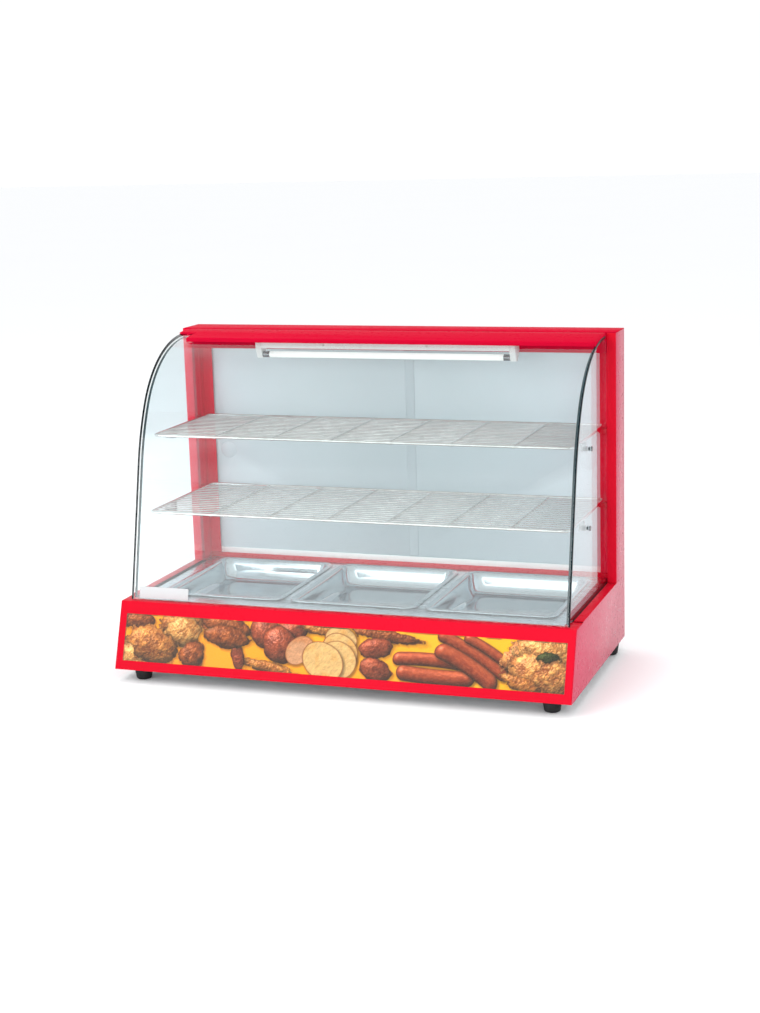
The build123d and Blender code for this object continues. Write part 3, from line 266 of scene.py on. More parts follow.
def brushed(name, colour, rough, stretch, scale=1.0, bump=0.00002, tint=0.06):
    """Metal with a directional grain."""
    n = Net(name)
    grain = n.noise(220.0 * scale, 4.0, 0.65, stretch)
    smear = n.noise(7.0, 3.0, 0.6)
    k = n.maths("ADD", n.maths("MULTIPLY", grain, 0.6), n.maths("MULTIPLY", smear, 0.4))
    lo = tuple(max(0, c - tint) for c in colour)
    hi = tuple(min(1, c + tint) for c in colour)
    col = n.ramp(n.span(k, 0, 1, 0.3, 0.7), [(0.0, lo), (1.0, hi)])
    b = n.add("BsdfPrincipled", Metallic=1.0)
    n.put(b, "Base Color", col)
    n.put(b, "Roughness", n.span(k, rough[0], rough[1], 0.3, 0.7))
    n.put(b, "Normal", n.bump(grain, bump, 0.5))
    return n.surface(b.outputs[0])


def chrome(name, colour, rough=(0.06, 0.16)):
    n = Net(name)
    w = n.noise(45.0, 3.0, 0.6)
    col = n.ramp(n.span(w, 0, 1, 0.35, 0.7), [(0.0, tuple(c * 0.82 for c in colour)), (1.0, colour)])
    b = n.add("BsdfPrincipled", Metallic=1.0)
    n.put(b, "Base Color", col)
    n.put(b, "Roughness", n.span(w, rough[0], rough[1], 0.3, 0.7))
    n.put(b, "Normal", n.bump(n.noise(300.0, 2.0), 0.00002, 0.4))
    return n.surface(b.outputs[0])


def plastic(name, colour, rough=(0.35, 0.55), grain=900.0, depth=0.00003, spec=0.5, vary=0.06):
    n = Net(name)
    v = n.noise(9.0, 3.0)
    lo = tuple(c * (1 - vary) for c in colour)
    hi = tuple(min(1.0, c * (1 + vary)) for c in colour)
    col = n.ramp(n.span(v, 0, 1, 0.3, 0.7), [(0.0, lo), (1.0, hi)])
    b = n.add("BsdfPrincipled")
    n.put(b, "Base Color", col)
    n.put(b, "Roughness", n.span(n.noise(70.0, 4.0), rough[0], rough[1], 0.3, 0.7))
    n.put(b, "Specular IOR Level", spec)
    n.put(b, "Normal", n.bump(n.noise(grain, 2.0), depth, 0.6))
    return n.surface(b.outputs[0])


def glass(name, axis_edge, edge_dark, edge_light, tint=(0.96, 0.985, 0.98), band=None):
    """Clear plate: see-through faces that mirror a little, dark green-blue edges.

    axis_edge is "x" where the edges are the faces that look along X, and "yz" where
    the broad faces look along X and everything else is edge."""
    n = Net(name)
    geo = n.add("NewGeometry")
    tc = n.add("TexCoord")
    sep = n.add("SeparateXYZ")
    n.put(sep, "Vector", tc.outputs["Normal"])
    ax = n.maths("ABSOLUTE", sep.outputs["X"])
    at = n.add("SeparateXYZ")
    n.put(at, "Vector", tc.outputs["Object"])
    if axis_edge == "x":
        # the ground edge, and a narrow band beside it on the broad faces that takes the dark edge colour as painted
        # shade
        edge = n.maths("MAXIMUM", n.maths("GREATER_THAN", ax, 0.55),
                       n.maths("GREATER_THAN", n.maths("ABSOLUTE", at.outputs["X"]), band))
    else:
        # only the curved front edge is seen end-on; the back one sits in the post's seal
        edge = n.maths("MULTIPLY", n.maths("LESS_THAN", ax, 0.80), n.maths("LESS_THAN", at.outputs["Y"], band))
    clear = n.add("BsdfTransparent")
    smudge = n.noise(5.0, 4.0, 0.6)
    n.put(clear, "Color", n.ramp(n.span(smudge, 0, 1, 0.3, 0.75), [(0.0, tint), (1.0, tuple(min(1, c + 0.02) for c in tint))]))
    gloss = n.add("BsdfGlossy")
    gloss.inputs["Color"].default_value = (1, 1, 1, 1)
    n.put(gloss, "Roughness", n.span(n.noise(30.0, 4.0), 0.0, 0.02, 0.35, 0.8))
    # the same mirror strength from both sides: no total reflection inside a pane that doesn't bend light
    fr = n.add("Fresnel")
    n.put(fr, "IOR", n.span(geo.outputs["Backfacing"], 1.42, 1 / 1.42))
    pane = n.add("MixShader")
    n.put(pane, 0, fr.outputs[0])
    n.t.links.new(clear.outputs[0], pane.inputs[1])
    n.t.links.new(gloss.outputs[0], pane.inputs[2])
    b = n.add("BsdfPrincipled")
    n.put(b, "Base Color", n.ramp(n.span(n.noise(14.0, 4.0, 0.6, (1, 1, 1)), 0, 1, 0.35, 0.68), [(0.0, edge_dark), (1.0, edge_light)]))
    b.inputs["Roughness"].default_value = 0.2
    b.inputs["Specular IOR Level"].default_value = 0.1
    fin = n.add("MixShader")
    n.put(fin, 0, edge)
    n.t.links.new(pane.outputs[0], fin.inputs[1])
    n.t.links.new(b.outputs[0], fin.inputs[2])
    return n.surface(fin.outputs[0])


RED_D, RED_L = (0.62, 0.0055, 0.021), (0.68, 0.0070, 0.026)
M = {}
# bluer copy of the red paint for the outer side faces: painted sheen
RED_SIDE_SHEEN = ((0.50, 0.009, 0.062), (0.56, 0.012, 0.072), 0.46)
M["red"] = powder_coat("red_coat", RED_D, RED_L, 0.03, outer=RED_SIDE_SHEEN)
# lighter copy of the red paint for the left post and rear stiles inside the case: painted light
M["red_inner_lit"] = powder_coat("red_coat_inner_painted_light", (0.80, 0.008, 0.040), (0.86, 0.010, 0.050), 0.03, outer=RED_SIDE_SHEEN)
# darker copy of the red paint with almost no specular, for the roof, clamp and end caps: painted shade
M["red_top_shaded"] = powder_coat("red_coat_roof_shaded", (0.54, 0.003, 0.026), (0.58, 0.004, 0.030), 0.001)
M["galv"] = brushed("bright_sheet", (0.55, 0.56, 0.57), (0.32, 0.46), (1, 0.05, 1))
M["stainless"] = brushed("stainless_brushed", (0.66, 0.69, 0.71), (0.20, 0.34), (0.04, 1, 1), 1.6)
M["pan"] = brushed("stainless_pressed", (0.55, 0.60, 0.63), (0.08, 0.15), (1, 1, 0.5), 0.5, 0.000008, 0.03)
M["alu"] = brushed("satin_aluminium", (0.82, 0.83, 0.84), (0.28, 0.42), (0.03, 1, 1), 1.4)
M["screw"] = brushed("bright_zinc", (0.66, 0.66, 0.63), (0.22, 0.38), (1, 1, 1), 1.0)
M["sheath"] = brushed("heat_tinted_sheath", (0.26, 0.23, 0.20), (0.35, 0.55), (1, 1, 1), 0.7)
M["pull"] = brushed("pressed_cup", (0.68, 0.69, 0.70), (0.18, 0.32), (1, 1, 0.1), 1.0)
M["cap_metal"] = brushed("tube_cap", (0.22, 0.22, 0.23), (0.10, 0.20), (1, 1, 1), 1.0)
M["chrome"] = chrome("chrome_rim", (0.86, 0.84, 0.82), (0.04, 0.10))
# dark copies of the shelf chrome for the fine wires and cross bars: painted shade and dark reflection
M["wire"] = chrome("chrome_fine_wire", (0.13, 0.115, 0.10), (0.08, 0.16))
M["dull_wire"] = powder_coat("dull_plated_wire", (0.13, 0.118, 0.105), (0.20, 0.182, 0.162), 0.22, rough=(0.20, 0.34))
M["track"] = powder_coat("track_enamel", (0.95, 0.95, 0.94), (0.99, 0.99, 0.98), 0.5)
M["bar_shade"] = powder_coat("cross_bar_painted_shade", (0.030, 0.026, 0.022), (0.050, 0.043, 0.037), 0.15, rough=(0.20, 0.34))
M["stud"] = chrome("stud_steel", (0.34, 0.35, 0.36), (0.18, 0.30))
M["white_enamel"] = powder_coat("white_enamel", (0.84, 0.84, 0.83), (0.90, 0.90, 0.89), 0.4)
M["holder_plastic"] = plastic("white_holder", (0.86, 0.86, 0.85), (0.25, 0.4))
M["white_plastic"] = plastic("ticket_white", (0.60, 0.61, 0.62), (0.3, 0.45), spec=0.1, vary=0.03)
M["nylon"] = plastic("nylon_washer", (0.52, 0.57, 0.59), (0.3, 0.5))
M["black"] = plastic("black_moulded", (0.018, 0.018, 0.019), (0.38, 0.6), 700.0, 0.00006)
M["rubber"] = plastic("black_rubber", (0.011, 0.011, 0.012), (0.55, 0.8), 500.0, 0.00012, spec=0.35)
M["terminal"] = plastic("terminal_body", (0.78, 0.75, 0.66))
M["ballast"] = powder_coat("ballast_case", (0.60, 0.60, 0.57), (0.66, 0.66, 0.63), 0.4)
M["red_lens"] = plastic("red_lens", (0.55, 0.015, 0.01), (0.12, 0.25), 1200.0, 0.00001)
M["green_lens"] = plastic("green_lens", (0.015, 0.33, 0.06), (0.12, 0.25), 1200.0, 0.00001)
M["glass_front"] = glass("plate_glass_bent", "x", (0.002, 0.006, 0.009), (0.005, 0.014, 0.018), band=0.4318)
M["glass_side"] = glass("plate_glass_flat", "yz", (0.010, 0.028, 0.034), (0.03, 0.07, 0.085),
                        (0.905, 0.938, 0.955), band=0.125)


def door_material():
    """Satin grey sheet with painted light: a little lighter towards its outer sides."""
    n = Net("door_sheet_painted_light")
    tc = n.add("TexCoord")
    sep = n.add("SeparateXYZ")
    n.put(sep, "Vector", tc.outputs["Object"])
    # painted light: the sheet is lighter towards the outer sides of the doors
    painted_light_across = n.span(sep.outputs["X"], 0.0, 1.0, -0.43, 0.43)
    drift = n.noise(1.6, 2.0)
    k = n.maths("ADD", painted_light_across, n.maths("MULTIPLY", n.maths("SUBTRACT", drift, 0.5), 0.25))
    col = n.ramp(k, [(0.0, (0.70, 0.755, 0.79)), (0.45, (0.585, 0.645, 0.68)), (0.62, (0.575, 0.64, 0.675)), (1.0, (0.68, 0.745, 0.79))])
    grain = n.noise(600.0, 2.0, 0.5)
    b = n.add("BsdfPrincipled")
    n.put(b, "Base Color", col)
    n.put(b, "Roughness", n.span(n.noise(25.0, 3.0), 0.30, 0.40, 0.3, 0.7))
    b.inputs["Specular IOR Level"].default_value = 0.5
    n.put(b, "Normal", n.bump(grain, 0.000008, 0.3))
    return n.surface(b.outputs[0])


M["door"] = door_material()


def tube_material():
    n = Net("lit_tube")
    tc = n.add("TexCoord")
    sep = n.add("SeparateXYZ")
    n.put(sep, "Vector", tc.outputs["Object"])
    ends = n.span(n.maths("ABSOLUTE", n.maths("ADD", sep.outputs["X"], 0.007)), 0.0, 1.0, 0.205, 0.245)
    dot = n.noise(180.0, 2.0)
    b = n.add("BsdfPrincipled")
    n.put(b, "Base Color", n.ramp(n.span(dot, 0, 1, 0.3, 0.7), [(0.0, (0.90, 0.90, 0.88)), (1.0, (0.97, 0.97, 0.96))]))
    b.inputs["Roughness"].default_value = 0.16
    n.put(b, "Emission Color", n.ramp(ends, [(0.0, (1.0, 0.985, 0.96)), (1.0, (0.62, 0.60, 0.58))]))
    b.inputs["Emission Strength"].default_value = 0.30
    return n.surface(b.outputs[0])


M["tube"] = tube_material()

CAD_MATERIAL = {
    "base_bottom_plate": "galv", "base_side_left": "red", "base_side_right": "red", "base_front_frame": "red",
    "base_rear_panel": "galv", "rear_rail": "red", "deck_frame": "stainless",
    "post_left": "red_inner_lit", "post_right": "red", "rear_stile_left": "red_inner_lit", "rear_stile_right": "red_inner_lit",
    "top_cover": "red_top_shaded", "top_inner_liner": "white_enamel", "hinge_fixed_profile": "red_top_shaded",
    "glass_clamp_profile": "red_top_shaded", "clamp_gasket": "rubber", "glass_clamp_strip": "alu",
    "clamp_end_caps": "red_top_shaded", "clamp_screws": "screw", "label_plate": "white_plastic",
    "front_glass": "glass_front", "side_glass_left": "glass_side", "side_glass_right": "glass_side",
    "glass_gasket_left": "rubber", "glass_gasket_right": "rubber", "lamp_housing": "track",
    "lamp_holders": "holder_plastic", "lamp_tube": "tube", "lamp_tube_caps": "cap_metal", "lamp_screws": "screw",
    "door_track_lower": "track", "door_track_upper": "track", "sliding_door_left": "door", "sliding_door_right": "door",
    "door_pull_left": "door", "door_pull_right": "door", "wire_shelf_upper": "chrome", "wire_shelf_lower": "chrome",
    "shelf_studs": "stud", "stud_washers": "nylon", "shelf_hooks": "red", "rubber_feet": "rubber",
    "foot_screws": "screw", "heating_element": "sheath", "element_brackets": "galv", "heat_tray": "galv",
    "thermostat_body": "black", "thermostat_knob": "black", "rocker_housings": "black", "power_rocker": "red_lens",
    "light_rocker": "green_lens", "pilot_lamp": "red_lens", "cable_gland": "black", "terminal_block": "terminal",
    "lamp_ballast": "ballast", "body_screws": "screw", "pan_left": "pan", "pan_centre": "pan", "pan_right": "pan",
    "front_graphic_panel": "white_plastic",
}
for node, key in CAD_MATERIAL.items():
    o = NODES[node]
    o.data.materials.clear()
    o.data.materials.append(M[key])


def new_object(name, mesh, body, nodes=(), material=None):
    o = bpy.data.objects.new(name, mesh)
    SC.collection.objects.link(o)
    if material is not None:
        mesh.materials.clear()
        mesh.materials.append(material)
    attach(o, body)
    if nodes:
        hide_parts(*nodes)
    return o


# ============================================ softened edges on the sheet-metal
def softened(node, width, segments=2, angle=28.0):
    """A copy of a CAD piece with its edges broken, as folded or moulded parts have."""
    src = NODES[node]
    bm = bmesh.new()
    bm.from_mesh(src.data)
    bmesh.ops.remove_doubles(bm, verts=bm.verts, dist=2e-6)
    bmesh.ops.dissolve_limit(bm, angle_limit=math.radians(0.6), verts=bm.verts, edges=bm.edges)
    mesh = bpy.data.meshes.new(node + "_finished")
    bm.to_mesh(mesh)
    bm.free()
    o = new_object(node + "_finished", mesh, BODY[node], [node], M[CAD_MATERIAL[node]])
    bev = o.modifiers.new("edge", "BEVEL")
    bev.width = width
    bev.segments = segments
    bev.limit_method = "ANGLE"
    bev.angle_limit = math.radians(angle)
    bev.use_clamp_overlap = True
    bev.harden_normals = False
    dg = bpy.context.evaluated_depsgraph_get()
    done = bpy.data.meshes.new_from_object(o.evaluated_get(dg))
    o.modifiers.clear()
    o.data = done
    for p in o.data.polygons:
        p.use_smooth = True
    o.data.set_sharp_from_angle(angle=math.radians(32))
    return o


SOFT = {
    "base_side_left": 0.0004, "base_side_right": 0.0004, "base_front_frame": 0.0004, "base_rear_panel": 0.0003,
    "rear_rail": 0.0004, "deck_frame": 0.0003, "post_left": 0.0006, "post_right": 0.0006, "top_cover": 0.0005,
    "glass_clamp_profile": 0.0004, "hinge_fixed_profile": 0.0003, "clamp_end_caps": 0.0006, "label_plate": 0.0003,
    "lamp_housing": 0.0008, "lamp_holders": 0.0010, "door_track_lower": 0.0002, "door_track_upper": 0.0002,
    "sliding_door_left": 0.0004, "sliding_door_right": 0.0004, "thermostat_knob": 0.0006, "rocker_housings": 0.0004,
    "power_rocker": 0.0005, "light_rocker": 0.0005, "cable_gland": 0.0004, "rubber_feet": 0.0006,
    "lamp_ballast": 0.0004, "shelf_studs": 0.0005, "shelf_hooks": 0.0003, "door_pull_left": 0.0003,
    "door_pull_right": 0.0003, "body_screws": 0.0003, "foot_screws": 0.0003, "rear_stile_left": 0.0003,
    "rear_stile_right": 0.0003, "pilot_lamp": 0.0005,
}
for node, w in SOFT.items():
    softened(node, w)


# ================================================================= wire shelves
def finished_shelf(node):
    """The welded shelf with its rim, cross bars and fine wires each in their own material, the wires and bars painted
    dark as shade and dark reflection, and weld beads.
    """
    src = NODES[node].data
    bm = bmesh.new()
    bm.from_mesh(src)
    bmesh.ops.remove_doubles(bm, verts=bm.verts, dist=2e-6)
    lo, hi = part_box(node)
    z = hi.z - 0.0026                     # height of the rim's axis
    rr = 0.0026
    bm.faces.ensure_lookup_table()
    bm.normal_update()
    for f in bm.faces:
        c = f.calc_center_median()
        near = min(c.x - lo.x, hi.x - c.x, c.y - lo.y, hi.y - c.y)
        if near < 2 * rr + 0.0004:
            f.material_index = 0
        elif abs(f.normal.y) < 0.12 and c.z < z + 0.0003 and min(abs(c.x - 0.010 - 0.119 * (i - 2.5)) for i in range(6)) < 0.0021:
            f.material_index = 2
        else:
            f.material_index = 1
    # corners of the rim are rounded, so take the ring inside them
    for f in bm.faces:
        if f.material_index:
            c = f.calc_center_median()
            rx = min(c.x - lo.x, hi.x - c.x)
            ry = min(c.y - lo.y, hi.y - c.y)
            if rx < 0.015 and ry < 0.015 and math.hypot(0.015 - rx, 0.015 - ry) > 0.015 - 0.0075:
                f.material_index = 0
    # weld beads where the bars and every third wire meet the rim
    beads = []
    for i in range(6):
        x = 0.010 + 0.119 * (i - 2.5)
        beads += [(x, lo.y + rr, z - 0.0014, 0.0023), (x, hi.y - rr, z - 0.0014, 0.0023)]
    ya, yb = lo.y + rr, hi.y - rr
    n = int(round((yb - ya) * 1000 / 17.5))
    for i in range(n):
        y = ya + (yb - ya) * (i + 1) / (n + 1)
        for x in (lo.x + rr, hi.x - rr):
            beads.append((x, y, z + 0.0009, 0.0017))
    for x in (lo.x + 0.0068, hi.x - 0.0068):
        beads.append((x, lo.y + 0.0068, z, 0.0033))
    for x, y, zz, r in beads:
        ret = bmesh.ops.create_icosphere(bm, subdivisions=2, radius=r, matrix=Matrix.Translation((x, y, zz)))
        for v in ret["verts"]:
            for f in v.link_faces:
                f.material_index = 0
                f.smooth = True
    # cross rods lying on the wires, painted near black as shade and dark reflection
    ym, run = (lo.y + hi.y) / 2, hi.y - lo.y - 4 * rr
    for i in range(6):
        x = 0.010 + 0.119 * (i - 2.5)
        ret = bmesh.ops.create_cone(bm, cap_ends=True, segments=14, radius1=0.0010, radius2=0.0010, depth=run,
                                    matrix=Matrix.Translation((x, ym, z + 0.0013)) @ Matrix.Rotation(math.pi / 2, 4, "X"))
        for v in ret["verts"]:
            for f in v.link_faces:
                f.material_index = 2
    mesh = bpy.data.meshes.new(node + "_welded")
    bm.to_mesh(mesh)
    bm.free()
    o = new_object(node + "_welded", mesh, BODY[node], [node], None)
    mesh.materials.clear()
    # the fine wires get a dark copy of the chrome, a duller one on the upper shelf: painted shade and dark reflection
    for key in ("chrome", "dull_wire" if node == "wire_shelf_upper" else "wire", "bar_shade"):
        mesh.materials.append(M[key])
    for q in mesh.polygons:
        q.use_smooth = True
    mesh.set_sharp_from_angle(angle=math.radians(50))
    return o


for node in ("wire_shelf_upper", "wire_shelf_lower"):
    finished_shelf(node)


# ================================================================= door seal
def door_seal():
    """Soft strip along the inner edge of the left door that closes the gap to the other door."""
    lo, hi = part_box("sliding_door_left")
    x, y = hi.x, hi.y
    prof = [(x - 0.0060, y + 0.0002), (x - 0.0002, y - 0.0024), (x + 0.0012, y - 0.0018), (x + 0.0150, y + 0.0030),
            (x + 0.0158, y + 0.0035), (x + 0.0150, y + 0.0037), (x - 0.0060, y + 0.0012)]
    zs = [lo.z + 0.0098, lo.z + 0.0104, hi.z - 0.0104, hi.z - 0.0098]
    verts, faces = [], []
    m = len(prof)
    cx = sum(q[0] for q in prof) / m
    cy = sum(q[1] for q in prof) / m
    for i, z in enumerate(zs):
        k = 0.9 if i in (0, len(zs) - 1) else 1.0
        verts += [(cx + (px - cx) * k, cy + (py - cy) * k, z) for px, py in prof]
    for i in range(len(zs) - 1):
        for j in range(m):
            a, b = i * m + j, i * m + (j + 1) % m
            faces.append((a, b, b + m, a + m))
    faces.append(tuple(range(m))[::-1])
    faces.append(tuple((len(zs) - 1) * m + j for j in range(m)))
    mesh = bpy.data.meshes.new("door_seal")
    mesh.from_pydata(verts, [], faces)
    bm = bmesh.new()
    bm.from_mesh(mesh)
    bmesh.ops.recalc_face_normals(bm, faces=bm.faces)
    bm.to_mesh(mesh)
    bm.free()
    return new_object("door_seal", mesh, BODY["sliding_door_left"], (), M["door"])


door_seal()


# ================================================================ pressed pans
def rounded_ring(hx, hy, r, n=10):
    """Points round a rectangle with rounded corners, n + 1 per corner, anticlockwise."""
    pts = []
    for cx, cy, a0 in ((hx - r, hy - r, 0), (-hx + r, hy - r, 90), (-hx + r, -hy + r, 180), (hx - r, -hy + r, 270)):
        for i in range(n + 1):
            a = math.radians(a0 + 90.0 * i / n)
            pts.append((cx + r * math.cos(a), cy + r * math.sin(a)))
    return pts


def pressed_pan(node, body):
    """One sheet pressed to a pan: rolled rim, shallow bead, rounded walls, gently crowned floor."""
    lo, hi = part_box(node)
    cx, cy = (lo.x + hi.x) / 2, (lo.y + hi.y) / 2
    hx, hy, top, floor = (hi.x - lo.x) / 2, (hi.y - lo.y) / 2, hi.z, lo.z
    t = 0.0008
    # inner skin, from the rolled edge inwards and down: (inset, height, corner radius)
    prof = [(0.0, top - 0.0024, 0.0240), (0.0, top - 0.0014, 0.0240), (0.0004, top - 0.0006, 0.0238),
            (0.0011, top - 0.0001, 0.0234), (0.0019, top, 0.0230), (0.0030, top - 0.0002, 0.0225),
            (0.0042, top - 0.0009, 0.0218), (0.0056, top - 0.0011, 0.0210), (0.0070, top - 0.0009, 0.0203),
            (0.0080, top - 0.0003, 0.0198), (0.0088, top - 0.0001, 0.0194), (0.0097, top - 0.0006, 0.0190),
            (0.0106, top - 0.0020, 0.0188), (0.0114, top - 0.0046, 0.0187)]
    depth = top - floor - t
    for k in (0.2, 0.3, 0.4, 0.5, 0.58):
        prof.append((0.0114 + 0.0066 * (k * depth / 0.042), top - k * depth, 0.0187 + 0.012 * k))
    ri = 0.0160
    base_in = prof[-1][0]
    for a in (15, 30, 45, 60, 75, 90):
        s, c = math.sin(math.radians(a)), math.cos(math.radians(a))
        prof.append((base_in + 0.0012 + ri * (1 - c), top - depth + ri * (1 - s) * 1.0, 0.0257 - 0.003 * s))
    # bead round the floor and the slightly raised middle
    prof += [(base_in + ri + 0.006, top - depth + 0.0001, 0.020), (base_in + ri + 0.010, top - depth + 0.0009, 0.018),
             (base_in + ri + 0.014, top - depth + 0.0010, 0.016), (base_in + ri + 0.030, top - depth + 0.0011, 0.012),
             (base_in + ri + 0.060, top - depth + 0.0013, 0.008), (base_in + ri + 0.085, top - depth + 0.0014, 0.004)]
    rings = []
    for inset, z, r in prof:
        rings.append([(cx + x, cy + y, z) for x, y in rounded_ring(hx - inset, hy - inset, max(r, 0.003))])
    # outer skin, offset by the sheet, from the floor back up to the edge
    outer = []
    for i in range(len(prof) - 1, -1, -1):
        inset, z, r = prof[i]
        j0, j1 = max(0, i - 1), min(len(prof) - 1, i + 1)
        dx, dz = prof[j1][0] - prof[j0][0], prof[j1][1] - prof[j0][1]
        ln = math.hypot(dx, dz) or 1.0
        nx, nz = dz / ln, -dx / ln
        if nz > 0:
            nx, nz = -nx, -nz
        if i <= 1:
            nx, nz = 1.0, 0.0
        outer.append([(cx + x, cy + y, z + nz * t) for x, y in
                      rounded_ring(hx - inset - abs(nx) * t * (1 if i <= 3 else -1),
                                   hy - inset - abs(nx) * t * (1 if i <= 3 else -1), max(r, 0.003))])
    rings += outer
    n = len(rings[0])
    verts = [v for ring in rings for v in ring]
    faces = []
    for i in range(len(rings)):
        if i == len(prof) - 1:
            continue
        a, b = i * n, ((i + 1) % len(rings)) * n
        for j in range(n):
            k = (j + 1) % n
            faces.append((a + j, a + k, b + k, b + j))
    faces.append(tuple((len(prof) - 1) * n + j for j in range(n))[::-1])
    faces.append(tuple(len(prof) * n + j for j in range(n)))
    mesh = bpy.data.meshes.new(node + "_pressed")
    mesh.from_pydata(verts, [], faces)
    bm = bmesh.new()
    bm.from_mesh(mesh)
    bmesh.ops.recalc_face_normals(bm, faces=bm.faces)
    bm.to_mesh(mesh)
    bm.free()
    for p in mesh.polygons:
        p.use_smooth = True
    return new_object(node + "_pressed", mesh, body, [node], M["pan"])


for node in ("pan_left", "pan_centre", "pan_right"):
    pressed_pan(node, BODY[node])


# ======================================================= bent and flat glasses
G_Y0, G_Z0 = -0.1705, 0.1515
G_A0, G_L0, G_R1, G_A1, G_R2, G_A2, G_L3 = 12.6, 0.262, 0.470, 27.0, 0.212, 88.0, 0.024


def glass_profile(d, step=0.006):
    """Points (y, z) along the bent glass, d below its outer face, from the bottom up."""
    a = math.radians(G_A0)
    y, z = G_Y0, G_Z0
    pts = []
    n = 12
    for i in range(n + 1):
        s = G_L0 * i / n
        pts.append((y + s * math.sin(a), z + s * math.cos(a), G_A0))
    y, z = pts[-1][0], pts[-1][1]
    for r, a0, a1 in ((G_R1, G_A0, G_A1), (G_R2, G_A1, G_A2)):
        m = max(8, int(r * math.radians(a1 - a0) / step))
        for i in range(1, m + 1):
            t = math.radians(a0 + (a1 - a0) * i / m)
            t0 = math.radians(a0)
            pts.append((y + r * (math.cos(t0) - math.cos(t)), z + r * (math.sin(t) - math.sin(t0)), a0 + (a1 - a0) * i / m))
        y, z = pts[-1][0], pts[-1][1]
    a = math.radians(G_A2)
    pts.append((y + G_L3 * math.sin(a), z + G_L3 * math.cos(a), G_A2))
    return [(py + d * math.cos(math.radians(t)), pz - d * math.sin(math.radians(t))) for py, pz, t in pts]


def bent_glass():
    lo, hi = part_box("front_glass")
    gt, ch = 0.005, 0.0006
    # section through the thickness: outer face, chamfer, edge, chamfer, inner face
    hx = hi.x
    outer, inner = glass_profile(0.0), glass_profile(gt)
    oc, ic = glass_profile(ch), glass_profile(gt - ch)
    cols = [(-hx + ch, outer), (hx - ch, outer), (hx, oc), (hx, ic), (hx - ch, inner), (-hx + ch, inner), (-hx, ic), (-hx, oc)]
    verts, faces = [], []
    m = len(outer)
    for x, prof in cols:
        verts += [(x, y, z) for y, z in prof]
    for c in range(len(cols)):
        a, b = c * m, ((c + 1) % len(cols)) * m
        for i in range(m - 1):
            faces.append((a + i, b + i, b + i + 1, a + i + 1))
    faces.append(tuple(c * m for c in range(len(cols)))[::-1])
    faces.append(tuple(c * m + m - 1 for c in range(len(cols))))
    mesh = bpy.data.meshes.new("front_glass_bent")
    mesh.from_pydata(verts, [], faces)
    bm = bmesh.new()
    bm.from_mesh(mesh)
    bmesh.ops.recalc_face_normals(bm, faces=bm.faces)
    bm.to_mesh(mesh)
    bm.free()
    for p in mesh.polygons:
        p.use_smooth = True
    mesh.set_sharp_from_angle(angle=math.radians(30))
    return new_object("front_glass_bent", mesh, BODY["front_glass"], ["front_glass"], M["glass_front"])


bent_glass()


# ======================================================= picture on the front
def value_noise(u, v, scale, seed, octaves=4, gain=0.55):
    """Smooth lattice noise in 0..1, fixed by its seed."""
    out = np.zeros_like(u)
    amp, tot = 1.0, 0.0
    for o in range(octaves):
        s = scale / (2 ** o)
        x, y = u / s + 17.3 * o, v / s + 9.1 * o
        xi, yi = np.floor(x), np.floor(y)
        fx, fy = x - xi, y - yi
        fx, fy = fx * fx * (3 - 2 * fx), fy * fy * (3 - 2 * fy)

        def h(a, b):
            k = np.sin(a * 127.1 + b * 311.7 + (seed + o * 13) * 74.7) * 43758.5453
            return k - np.floor(k)
        n = (h(xi, yi) * (1 - fx) + h(xi + 1, yi) * fx) * (1 - fy) + (h(xi, yi + 1) * (1 - fx) + h(xi + 1, yi + 1) * fx) * fy
        out += n * amp
        tot += amp
        amp *= gain
    return out / tot


